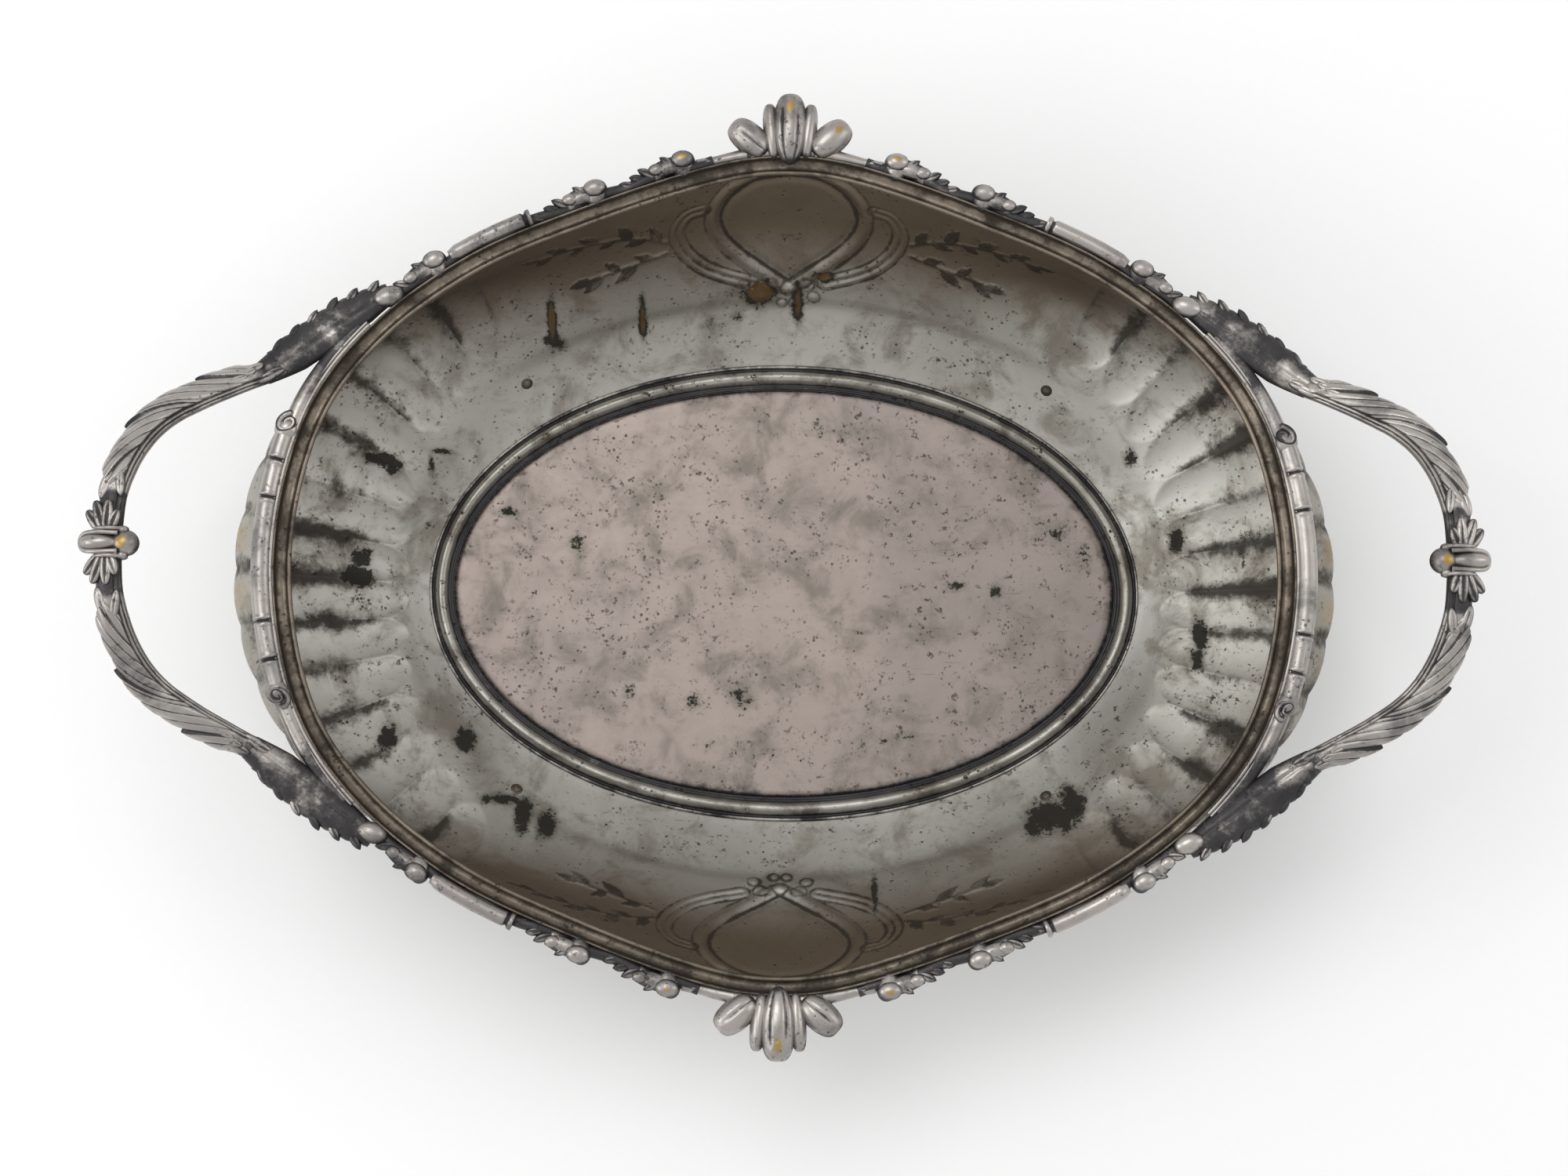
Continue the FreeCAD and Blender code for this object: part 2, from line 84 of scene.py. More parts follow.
BAND_HIGH = frame_box("rim_band")[1]
BOWL_LOW, BOWL_HIGH = frame_box("bowl")
PLATE_LOW, PLATE_HIGH = frame_box("floor_plate")
COLLAR_LOW, COLLAR_HIGH = frame_box("handle_collar_right")
BAND_REACH, CREST_DROP = 6.5, 6.0  # the rim band's width, and how much lower the rim is at its crests
HALF_X, HALF_Y = BAND_HIGH[:2] - BAND_REACH
END_LEVEL = BOWL_HIGH[2]
CREST_LEVEL = END_LEVEL - CREST_DROP
FLOOR_LEVEL = BOWL_LOW[2]
SHEET = 1.5  # the sheet's thickness
SHOULDER_X, SHOULDER_Y, SHOULDER_RISE = 156.0, 112.0, 14.5
SHOULDER_LEVEL = FLOOR_LEVEL + SHOULDER_RISE
PLATE_X, PLATE_Y = PLATE_HIGH[:2]
COLLAR_X = (COLLAR_LOW[0] + COLLAR_HIGH[0]) / 2
HANDLE_LEVEL = (COLLAR_LOW[2] + COLLAR_HIGH[2]) / 2

# The rim's outline in one quarter, as shares of its half length and half width.
RIM_SHAPE = (
    (1.0, 0.0), (0.953, 0.327), (0.832, 0.553), (0.634, 0.740), (0.391, 0.873), (0.154, 0.973), (0.0, 1.0),
)

# ---- curves


def unit(vectors):
    """The vectors with length one."""
    return vectors / np.linalg.norm(vectors, axis=-1, keepdims=True)


def round_angles(count):
    """Even angles round a circle."""
    return np.arange(count) / count * 2 * math.pi


def smooth_step(value, low, high):
    """A soft step from 0 to 1 between two levels of a value."""
    t = np.clip((value - low) / (high - low), 0, 1)
    return t * t * (3 - 2 * t)


def bump(distance, width):
    """A soft ridge, 1 in the middle."""
    return np.exp(-((distance / width) ** 2))


def run_along(points):
    """Distances along a chain of points, from 0."""
    return np.concatenate([[0], np.cumsum(np.linalg.norm(np.diff(points, axis=0), axis=1))])


def with_ends(rows):
    """The rows with one more at each end, carried on straight."""
    return np.concatenate([2 * rows[:1] - rows[1:2], rows, 2 * rows[-1:] - rows[-2:-1]])


def spline(a, b, c, d, t):
    """Catmull-Rom curve from b to c, at shares t of the way."""
    curve = 2 * b + (c - a) * t + (2 * a - 5 * b + 4 * c - d) * t**2
    return 0.5 * (curve + (3 * b - a - 3 * c + d) * t**3)


def smooth_line(points, count, closed=False):
    """A smooth curve through the points, resampled at even distances."""
    p = np.array(points, float)
    wide = p[np.arange(-1, len(p) + 2) % len(p)] if closed else with_ends(p)
    t = np.linspace(0, 1, 40, endpoint=False)[:, None]
    rows = [spline(*wide[i : i + 4], t) for i in range(len(wide) - 3)]
    fine = np.concatenate(rows + [wide[-2:-1]])
    along = run_along(fine)
    at = np.linspace(0, along[-1], count, endpoint=not closed)
    return np.stack([np.interp(at, along, column) for column in fine.T], axis=1)


def rim_height(x):
    """The height of the wall's top, which dips from the ends to the crests."""
    share = np.minimum(np.abs(x) / HALF_X, 1.0)
    return CREST_LEVEL + (END_LEVEL - CREST_LEVEL) * share**2


class Rim:
    """The rim's inner edge: points, outward directions and lengths from the +X end, at even steps."""

    def __init__(self, count):
        quarter = [(x * HALF_X, y * HALF_Y) for x, y in RIM_SHAPE]
        half = quarter + [(-x, y) for x, y in reversed(quarter[:-1])]
        loop = half + [(x, -y) for x, y in reversed(half[1:-1])]
        self.count = count
        self.points = smooth_line(loop, count, closed=True)
        ahead = np.roll(self.points, -1, axis=0)
        along = ahead - np.roll(self.points, 1, axis=0)
        for _ in range(count // 60):
            along = (np.roll(along, 1, axis=0) + along + np.roll(along, -1, axis=0)) / 3
        along = unit(along)
        self.outward = np.stack([along[:, 1], -along[:, 0]], axis=1)
        step = np.linalg.norm(ahead - self.points, axis=1)
        self.perimeter = step.sum()
        self.length = np.concatenate([[0], np.cumsum(step[:-1])])
        self.angle = np.arctan2(self.points[:, 1] / HALF_Y, self.points[:, 0] / HALF_X)

    def at(self, length, offset=0.0, lift=0.0):
        """Points beside the rim at distances along it, riding on its height."""
        length = np.atleast_1d(np.asarray(length, float)) % self.perimeter
        knots = np.append(self.length, self.perimeter)
        known = np.concatenate([self.points, self.outward], axis=1)
        known = np.concatenate([known, known[:1]])
        x, y, out_x, out_y = (np.interp(length, knots, column) for column in known.T)
        out = unit(np.stack([out_x, out_y], axis=1))
        return np.stack([x + out[:, 0] * offset, y + out[:, 1] * offset, rim_height(x) + lift], axis=1)

    def place(self, length, offset, lift):
        """A point beside the rim, its direction along the rim, away from the +X end, and outwards."""
        here, ahead = self.at([length, length + 1.0], offset, lift)
        out = self.at(length, offset + 1.0, lift)[0] - here
        return here, unit(ahead - here), unit(out)


RIM = Rim(1440)
QUARTER = RIM.perimeter / 4

# ---- mesh building


class Mesh:
    """Collects points, faces and per-point paint, in millimetres, and makes one object of them."""

    # The first paint layer darkens a point with dirt and tarnish and with painted shade in recesses,
    # creases and on undersides; where it is kept low it leaves painted highlights. gold shows brass, mark
    # holds stains.
    PAINT = ("grime", "gold", "mark")

    def __init__(self):
        self.points, self.faces, self.paint, self.count = [], [], [], 0

    def add(self, points, faces, grime=0.0, gold=0.0, mark=0.0):
        """Adds points [n, 3], faces that count from the first of them, and their paint."""
        n = len(points)
        paint = [np.broadcast_to(np.asarray(v, float).reshape(-1), (n,)) for v in (grime, gold, mark)]
        self.points.append(points)
        self.faces += [tuple(int(i) + self.count for i in f) for f in faces]
        self.paint.append(np.stack(paint, axis=1))
        self.count += n

    def grid(self, points, closed_u=False, closed_v=False, caps=False, flip=False, **paint):
        """Adds points [u, v, 3] joined as a grid, closed round either way, or with its u ends capped."""
        nu, nv = points.shape[:2]
        u = np.arange(nu if closed_u else nu - 1)[:, None]
        v = np.arange(nv if closed_v else nv - 1)[None, :]
        u1, v1 = (u + 1) % nu, (v + 1) % nv
        corners = [u * nv + v, u1 * nv + v, u1 * nv + v1, u * nv + v1]
        faces = [tuple(q) for q in np.stack(corners, axis=-1).reshape(-1, 4)]
        if caps:
            faces += [tuple(range(nv)), tuple(range(nu * nv - 1, nu * nv - nv - 1, -1))]
        if flip:
            faces = [f[::-1] for f in faces]
        paint = {label: np.broadcast_to(value, (nu, nv)) for label, value in paint.items()}
        self.add(points.reshape(-1, 3), faces, **paint)

    def make(self, name, material, node, signs=(1, 1)):
        """Makes the object in the quarter of the signs; it rides on the root body for one CAD node."""
        data = bpy.data.meshes.new(name)
        points = np.concatenate(self.points) * (*signs, 1) * MM
        flipped = signs[0] * signs[1] < 0
        data.from_pydata(points.tolist(), [], [f[::-1] if flipped else f for f in self.faces])
        data.validate()
        data.update()
        paint = np.concatenate(self.paint)
        for k, label in enumerate(self.PAINT):
            layer = data.attributes.new(label, "FLOAT", "POINT")
            layer.data.foreach_set("value", paint[:, k].astype(np.float32))
        welded = bmesh.new()
        welded.from_mesh(data)
        bmesh.ops.remove_doubles(welded, verts=welded.verts, dist=WELD * MM)
        welded.to_mesh(data)
        welded.free()
        data.polygons.foreach_set("use_smooth", [True] * len(data.polygons))
        data.materials.append(material)
        piece = bpy.data.objects.new(name, data)
        bpy.context.scene.collection.objects.link(piece)
        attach(piece, "root")
        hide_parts(node)


def low_grime(share, angle, most=0.62):
    """Painted shade low on a bar's sides, none on its back."""
    return np.clip(most - 0.9 * np.sin(angle), 0, 1) + share * 0


def lined_grime(lines, most):
    """Dirt in lines across a bar, given at even steps along it, besides the painted shade low on its
    sides.
    """
    steps = np.linspace(0, 1, len(lines))
    return lambda share, angle: np.maximum(np.interp(share, steps, lines), low_grime(share, angle, most))


def reeded(count, depth):
    """Relief of narrow ribs that run along a bar."""
    return lambda share, angle: depth * np.cos(angle * count)


def path_frames(path):
    """Unit directions along, level outward (to the right of travel) and up for each point of a path."""
    along = unit(np.gradient(path, axis=0))
    side = unit(np.cross(along, UP))
    return along, side, np.cross(side, along)


def round_skin(line, side, up, across, above):
    """Points round a line, at distances [station, angle] across and above it, along side and up."""
    side, up = (np.broadcast_to(way, line.shape)[:, None] for way in (side, up))
    return line[:, None] + across[..., None] * side + above[..., None] * up


def tube(mesh, path, radius_side, radius_up, rings, relief=None, grime=low_grime):
    """A closed bar of oval section along a path; relief(share, angle) adds height to its skin, and a
    second function darkens it, by default with painted shade low on its sides.
    """
    _, side, up = path_frames(path)
    share = np.linspace(0, 1, len(path))[:, None]
    angle = round_angles(rings)[None, :] + 0 * share
    wide, tall = ((radius + 0 * share[:, 0])[:, None] for radius in (radius_side, radius_up))
    extra = relief(share, angle) if relief else 0.0
    points = round_skin(path, side, up, (wide + extra) * np.cos(angle), (tall + extra) * np.sin(angle))
    mesh.grid(points, closed_v=True, caps=True, grime=grime(share, angle))


def egg(centre, direction, size, u, v, body, ring, curl=0.0, up=UP):
    """Points of an egg of a length, width and height: girth at stations u, section at angles v."""
    length, width, height = size
    along = unit(np.array(direction, float))
    side = unit(np.cross(along, up))
    run = -np.cos(u)[:, None]
    across = body[:, None] * width / 2 * np.cos(v) * ring
    above = body[:, None] * height / 2 * np.sin(v) * ring + curl * (run * 0.5 + 0.5) ** 2
    line = np.array(centre, float) + run * length / 2 * along
    return round_skin(line, side, np.cross(side, along), across, above)


def petal(mesh, centre, direction, size, groove=0.0, tip=0.0, curl=0.0, gold=0.0, dirt_and_shade=0.0, up=UP):
    """A leaf or bud: an egg along direction, pointed by tip, with a groove down its back."""
    u = (np.arange(22) + 0.25) / 21.5 * math.pi
    v = round_angles(24)
    body = np.sin(u) ** (1.0 + tip * (u > math.pi / 2) * (u / math.pi - 0.5) * 2)
    back = np.maximum(np.sin(v), 0)
    cut = groove * bump(np.cos(v), 0.28) * back * body[:, None]
    points = egg(centre, direction, size, u, v, body, 1.0 - cut, curl, up)
    # Painted shade under the leaf, none on its top, and darkness in its groove; the extra darkening passed
    # in is dirt and painted shade.
    grime = np.clip(0.92 - 1.15 * np.sin(v) * body[:, None], 0, 1)
    grime = np.maximum(grime, cut * 2.6) + dirt_and_shade
    shine = gold * bump(u / math.pi - 0.55, 0.14)[:, None] * back**6
    mesh.grid(points, closed_v=True, caps=True, grime=np.clip(grime, 0, 1), gold=np.clip(shine, 0, 1))


VOLUTE_TURNS = 1.5


def volute(mesh, centre, side, up, radius, thick, sign):
    """A scroll: a tapering bar wound in to an eye, lying in the plane of side and up."""
    t = np.linspace(0, 1, 60)[:, None]
    angle = sign * t * VOLUTE_TURNS * 2 * math.pi
    reach = radius * (1 - 0.86 * t)
    path = centre + np.cos(angle) * reach * side + np.sin(angle) * reach * up
    axis = unit(np.cross(side, up))
    out = np.cross(unit(np.gradient(path, axis=0)), axis)
    ring = round_angles(14)
    size = thick * (1 - 0.45 * t)
    points = round_skin(path, out, axis, np.cos(ring) * size, np.sin(ring) * size * 1.25)
    # Painted shade on one side of the coiled bar.
    mesh.grid(points, closed_v=True, caps=True, grime=np.clip(0.5 - 0.6 * np.cos(ring), 0, 1))


# ---- bowl

BOWL_ROWS, UNDER_ROWS = 128, 56
# How far the wall swells at the ends and at the crests, and how narrow the swell is.
BELLY_END, BELLY_CREST, BELLY_POWER = 36.0, 3.0, 1.3
# The flutes: distance between them, depth, and the shares of it seen inside and outside.
FLUTE_PITCH, FLUTE_DEPTH, INNER_SHARE, OUTER_SHARE = 19.2, 2.8, 0.5, 0.5
# How far they go each way from an end's middle, their length there, what the last ones lack, their tips.
FLUTE_REACH = 7 * FLUTE_PITCH
FLUTE_LENGTH, FLUTE_SHORTENING, FLUTE_TIP = 34.0, 17.0, 12.0

# The bowl's bottom, outwards from the plate: half length, half width, height over the floor sheet.
BOTTOM_ROWS = (
    (PLATE_X + 0.4, PLATE_Y + 0.4, 0.0),
    (PLATE_X + 7.9, PLATE_Y + 9.0, 1.6),
    (SHOULDER_X - 9.5, SHOULDER_Y - 11.5, 7.4),
)
WALL_LEVELS = (0.0, 0.1, 0.2, 0.32, 0.45, 0.58, 0.72, 0.86, 1.0)
# The stamping on the long walls lies past this y and within this x; it is drawn a little narrower.
STAMP_Y, STAMP_X, STAMP_SCALE = 88, 110, 1.04
# Where brass shows on the outside of the end flutes: from this x, fully from this x.
BRASS_FROM, BRASS_FULL = 188, 202


def ellipse_row(half_x, half_y, level):
    """A level oval, with a point for each of the rim's."""
    x, y = half_x * np.cos(RIM.angle), half_y * np.sin(RIM.angle)
    return np.stack([x, y, np.full(RIM.count, level)], axis=1)


def wall_row(level):
    """A level line of the wall's inner skin, at a share of the height from shoulder to rim."""
    shoulder = ellipse_row(SHOULDER_X - SHEET, SHOULDER_Y - SHEET, 0)[:, :2]
    belly = BELLY_CREST + (BELLY_END - BELLY_CREST) * np.abs(np.cos(RIM.angle)) ** 3
    swell = belly * max(math.sin(math.pi * level), 0.0) ** BELLY_POWER
    plan = shoulder + (RIM.points - shoulder) * level + RIM.outward * swell[:, None]
    base = SHOULDER_LEVEL + SHEET
    height = base + (rim_height(RIM.points[:, 0]) - base) * level
    return np.concatenate([plan, height[:, None]], axis=1)


def loft(rows, count):
    """A smooth skin [station, level, 3] through rows of points."""
    rows = np.stack(rows)
    gaps = np.linalg.norm(np.diff(rows, axis=0), axis=2).mean(axis=1)
    knots = np.concatenate([[0], np.cumsum(gaps)])
    wide = with_ends(rows)
    out = []
    for level in np.linspace(0, knots[-1], count):
        i = min(int(np.searchsorted(knots, level, side="right")) - 1, len(rows) - 2)
        t = (level - knots[i]) / (knots[i + 1] - knots[i])
        out.append(spline(*wide[i : i + 4], t))
    return np.stack(out, axis=1)


def skin_outward(skin):
    """Unit directions out of the bowl at each point of a skin."""
    along_u = np.roll(skin, -1, axis=0) - np.roll(skin, 1, axis=0)
    return unit(np.cross(along_u, np.gradient(skin, axis=1)))


def line_distance(a, b, points):
    """The distance of each point (a, b) from a chain of points."""
    best = np.full(a.shape, 1e9)
    for (x0, y0), (x1, y1) in zip(points[:-1], points[1:]):
        dx, dy = x1 - x0, y1 - y0
        t = np.clip(((a - x0) * dx + (b - y0) * dy) / (dx * dx + dy * dy), 0, 1)
        best = np.minimum(best, np.hypot(a - x0 - t * dx, b - y0 - t * dy))
    return best


def leaf_bump(a, b, root, turn, length, width):
    """A pointed leaf from its root, with a sunk midrib, as a height from 0 to 1."""
    a, b = a - root[0], b - root[1]
    u = (a * math.cos(turn) + b * math.sin(turn)) / length
    v = (b * math.cos(turn) - a * math.sin(turn)) / width
    half = np.where((u > 0) & (u < 1), np.sin(np.clip(u, 0, 1) * math.pi) ** 0.8 * (1.15 - 0.5 * u), 0)
    body = np.clip(1 - (v / np.maximum(half, 1e-3)) ** 2, 0, 1) * (half > 0.05)
    return np.sqrt(body) * (1 - 0.55 * bump(v, 0.16))


# The cartouche and its scrolls on one half of a long wall: across from the middle, down from the rim.
CARTOUCHE = (
    (0, 1.0), (13, 3.0), (22.5, 9.5), (26.0, 18.5), (23.5, 28.0), (16.5, 37.5), (7.5, 46.0), (0, 52.0),
)
SCROLL_BAND = (
    (34.5, 12.5), (40.5, 13.5), (44.5, 21.0), (42.5, 31.0), (36.0, 40.5), (27.0, 47.5), (15.0, 53.5),
)
# The balls of the knot: across, down, radius.
KNOT = ((0, 57.0, 3.4), (7.5, 55.0, 3.2), (10.5, 60.5, 2.6), (2.5, 64.0, 2.2))
# Each laurel twig: its stem, the distance between leaves, and of the first one from the root.
TWIGS = (
    (((48.5, 25.5), (57, 20.5), (67, 16.5), (78, 14.0), (88, 13.0), (98, 14.0)), 6.4, 3.0),
    (((49, 31), (58, 32.5), (68, 33.5), (79, 35.0)), 6.8, 5.0),
)


def cartouche_relief(a, b):
    """Height towards the inside, and darkening in its grooves and round its balls, of the cartouche, its
    scrolls and knot.
    """
    outline = smooth_line(CARTOUCHE, 60)
    gap = line_distance(a, b, outline)
    inside = a < np.interp(b, outline[:, 1], outline[:, 0], left=0, right=0)
    gap = np.where(inside, -gap, gap)
    height = 0.4 * smooth_step(-gap, -0.5, 3.0)
    height += 0.9 * bump(gap - 4.4, 2.1) - 0.8 * bump(gap - 1.2, 0.9) - 0.5 * bump(gap - 7.6, 0.8)
    dirt_and_shade = np.maximum(0.95 * bump(gap - 1.1, 1.1), 0.7 * bump(gap - 7.6, 0.9))
    band = line_distance(a, b, smooth_line(SCROLL_BAND, 50))
    height += 0.6 * bump(band - 1.5, 0.8) - 0.4 * bump(band, 0.7) - 0.5 * bump(band - 3.2, 0.7)
    dirt_and_shade = np.maximum.reduce([dirt_and_shade, 0.8 * bump(band - 3.2, 0.8), 0.6 * bump(band, 0.7)])
    for across, down, radius in KNOT:
        ball = np.hypot(a - across, b - down)
        height += 0.9 * bump(ball, radius * 0.8)
        dirt_and_shade = np.maximum(dirt_and_shade, 0.75 * bump(ball - radius, 0.9))
    return height, dirt_and_shade


def add_twig(a, b, height, dirt_and_shade, chain, step, first):
    """Adds a laurel twig to a relief: a stem, leaves that lean either way by turns, and one at its end."""
    stem = smooth_line(chain, 60)
    near = line_distance(a, b, stem)
    height = height + 0.6 * bump(near, 0.8)
    dirt_and_shade = np.maximum(dirt_and_shade, 0.75 * bump(near, 0.9))
    run = run_along(stem)
    for k, at in enumerate(np.arange(first, run[-1] + step, step)):
        at = min(at, run[-1])
        root, ahead = (np.array([np.interp(s, run, column) for column in stem.T]) for s in (at, at + 2))
        turn = 0.1
        if at < run[-1]:
            turn = math.atan2(ahead[1] - root[1], ahead[0] - root[0]) + (0.62 if k % 2 else -0.62)
        turn += 0.16 * math.sin(5.3 * k + step)
        size = 1.0 + 0.18 * math.sin(2.7 * k + first)
        leaf = leaf_bump(a, b, root, turn, (10.4 - 0.25 * k) * size, 2.5 * size)
        height = np.maximum(height, 0.6 * leaf)
        dirt_and_shade = np.maximum(dirt_and_shade, 0.88 * smooth_step(leaf, 0.0, 0.35) * (1 - 0.25 * leaf))
    return height, dirt_and_shade


def flute_relief(length, depth, below):
    """Outward swell, and dirt and painted shade, of the fluted ends: soft fingers with round lower tips,
    fading at the rim; painted shade in the valleys between them and dark streaks towards the rim.
    """
    from_end = np.minimum(length, RIM.perimeter - length)
    from_end = np.minimum(from_end, np.abs(length - RIM.perimeter / 2))
    count = from_end / FLUTE_PITCH
    across = (count - np.floor(count)) * 2 - 1
    reach = FLUTE_LENGTH - FLUTE_SHORTENING * np.clip(from_end / FLUTE_REACH, 0, 1) ** 2
    past_tip = np.clip((depth - (reach - FLUTE_TIP)) / FLUTE_TIP, 0, None)
    body = np.clip(1 - across**2 * 0.94 - past_tip**2, 0, 1) ** 0.72
    inside = (from_end < FLUTE_REACH) * smooth_step(below, 1.0, 12.0)
    edge = bump(np.abs(across) - 1.0, 0.40) * (1 - smooth_step(past_tip, 0.0, 0.6))
    upper = 1 - smooth_step(depth, reach - 24.0 - 6.0 * across, reach - 9.0 - 5.0 * across)
    upper = upper * (0.4 + 0.6 * np.abs(across) ** 1.5)
    odd = 0.5 + 0.5 * np.sin(count * 2.1 + 0.8)
    dirt_and_shade = (0.22 + 0.26 * odd) * edge + (0.30 + 0.26 * odd) * upper
    return FLUTE_DEPTH * body * inside, inside * np.clip(dirt_and_shade, 0, 1)


# Stains on the inside of the bowl: across, back, half sizes, strength, and how much brown shows in them.
STAINS = (
    (-165, 1, 5.5, 4.0, 1.0, 0.1), (-164, 9, 3.5, 4.0, 0.9, 0.1), (-158, 47, 7.0, 2.2, 1.0, 0.35),
    (-152, 45, 3.0, 4.0, 0.9, 0.2), (-151, -62, 3.0, 6.0, 1.0, 0.3), (-123, -61, 3.6, 4.5, 1.0, 0.3),
    (-108, -84, 7.0, 2.2, 0.9, 0.3), (-99, -90, 3.0, 6.5, 1.0, 0.25), (-90, -94, 3.4, 5.5, 1.0, 0.2),
    (104, -88, 8.5, 5.5, 1.1, 0.0), (112, -84, 4.5, 7.0, 1.0, 0.0), (97, -92, 3.0, 5.0, 0.8, 0.0),
    (153, 20, 2.6, 5.0, 0.9, 0.1), (161, -17, 2.6, 6.0, 1.0, 0.1), (160, -26, 2.4, 5.0, 0.8, 0.2),
    (-11, 116, 6.5, 4.5, 1.0, 1.0), (4, 113, 2.2, 8.0, 0.9, 0.8), (14, 121, 5.0, 2.2, 0.8, 1.0),
    (-92, 102, 1.7, 7.5, 1.1, 0.8), (-91, 95, 4.2, 1.9, 1.0, 0.4), (-57, 105, 1.5, 6.5, 1.0, 0.8),
    (36, -119, 1.2, 7.0, 0.9, 0.4), (135, 53, 2.6, 3.2, 0.7, 0.1), (-139, 46, 1.3, 5.0, 0.7, 0.1),
    (-135, 52, 5.0, 1.2, 0.7, 0.1), (-20, 108, 3.0, 2.0, 0.6, 0.2), (-30, 105, 2.0, 4.0, 0.5, 0.1),
)


def stain_paint(points, stains):
    """How strongly the stains darken each point, and how brown they are."""
    mark, gold = np.zeros(points.shape[:2]), np.zeros(points.shape[:2])
    for x, y, half_x, half_y, strength, brown in stains:
        near = ((points[..., 0] - x) / half_x) ** 2 + ((points[..., 1] - y) / half_y) ** 2
        spot = strength * np.exp(-near * 0.7)
        gold = np.maximum(gold, spot**2 * brown)
        mark = np.maximum(mark, spot)
    return mark, gold


def bowl_skin(count):
    """The bowl's inner skin, its outward directions, its swell, the flutes' full swell, and its paint."""
    rows = [ellipse_row(x, y, FLOOR_LEVEL + SHEET + rise) for x, y, rise in BOTTOM_ROWS]
    skin = loft(rows + [wall_row(level) for level in WALL_LEVELS], count)
    steps = np.linalg.norm(np.diff(skin, axis=1), axis=2)
    run = np.concatenate([np.zeros((RIM.count, 1)), np.cumsum(steps, axis=1)], axis=1)
    below = run[:, -1:] - run
    depth = ((RIM.points[:, None] - skin[..., :2]) * RIM.outward[:, None]).sum(axis=2)
    full, grime = flute_relief(RIM.length[:, None] + 0 * below, depth, below)
    swell = full * INNER_SHARE
    near = (np.abs(skin[..., 1]) > STAMP_Y) & (np.abs(skin[..., 0]) < STAMP_X)
    across, down = np.abs(skin[..., 0][near] * STAMP_SCALE), below[near]
    height, dirt_and_shade = cartouche_relief(across, down)
    for twig in TWIGS:
        height, dirt_and_shade = add_twig(across, down, height, dirt_and_shade, *twig)
    swell[near] -= height * smooth_step(down, 0.3, 2.5)
    grime[near] = np.maximum(grime[near], dirt_and_shade)
    mark, gold = stain_paint(skin, STAINS)
    return skin, skin_outward(skin), swell, full, {"grime": grime, "gold": gold, "mark": mark}


def make_bowl(material):
    """The one-piece bowl: a fine inner skin, a coarser outer one, and the two edges between them."""
    mesh = Mesh()
    skin, outward, swell, _, paint = bowl_skin(BOWL_ROWS)
    inner = skin + outward * swell[..., None]
    under, under_out, low_swell, full, under_paint = bowl_skin(UNDER_ROWS)
    outer = under + under_out * (full * OUTER_SHARE + np.minimum(low_swell, 0) + SHEET)[..., None]
    brass = smooth_step(full, 0.45 * FLUTE_DEPTH, 0.95 * FLUTE_DEPTH)
    brass = brass * smooth_step(np.abs(under[..., 0]), BRASS_FROM, BRASS_FULL)
    outer[:, -1, 2] = inner[:, -1, 2]
    outer[:, 0, 2] = FLOOR_LEVEL
    grime = 0.30 + 0.4 * under_paint["grime"] - 0.3 * brass
    mesh.grid(inner, closed_u=True, flip=True, **paint)
    mesh.grid(outer, closed_u=True, grime=grime, gold=0.44 * brass)
    for level in (0, -1):
        edge = np.stack([inner[:, level], outer[:, level]], axis=1)
        mesh.grid(edge, closed_u=True, flip=level == -1, grime=0.7)
    mesh.make("bowl_sheet", material, "bowl")


# ---- floor

# Stains on the floor plate: the same values as the bowl's, without brown.
PLATE_STAINS = (
    (-111, 30, 6.0, 2.0, 0.9), (-82, 17, 4.0, 5.0, 0.62), (68, 3, 4.0, 2.2, 0.7),
    (84, 1, 3.0, 4.6, 0.7), (-35, -44, 3.6, 4.0, 0.62), (-15, -43, 5.0, 5.0, 0.66),
    (-60, -41, 2.6, 3.6, 0.64), (-35, 47, 4.0, 1.6, 0.5), (20, 65, 22.0, 5.0, 0.42),
    (104, 24, 12.0, 9.0, 0.40), (118, 14, 8.0, 8.0, 0.42), (-52, 40, 16.0, 3.0, 0.36),
    (-12, -62, 20.0, 6.0, 0.38), (45, -58, 18.0, 4.0, 0.38), (2, -12, 6.0, 2.0, 0.36),
    (30, -16, 5.0, 1.6, 0.5), (-100, -20, 4.0, 7.0, 0.40), (76, -38, 3.0, 4.4, 0.5),
)
# How much of their strength the plate's stains keep: they are paler than the bowl's.
PLATE_STAIN_SHARE = 0.82
# Section of the floor moulding: out from the plate's edge, height over its seat, darkening.
RING_SECTION = (
    (0.3, 0.2, 1.0), (0.6, 1.3, 1.0), (1.3, 1.0, 1.0), (1.9, 1.1, 1.0), (2.5, 2.6, 0.35), (3.4, 3.9, 0.0),
    (4.8, 4.4, 0.0), (6.2, 3.8, 0.1), (7.1, 2.5, 0.6), (7.5, 1.6, 1.0), (8.1, 1.7, 1.0), (8.6, 2.4, 0.5),
    (9.3, 2.3, 0.5), (9.7, 1.5, 0.8), (9.0, 0.6, 1.0), (5.0, 0.0, 1.0),
)
RING_SEAT = FLOOR_LEVEL + SHEET + 0.25


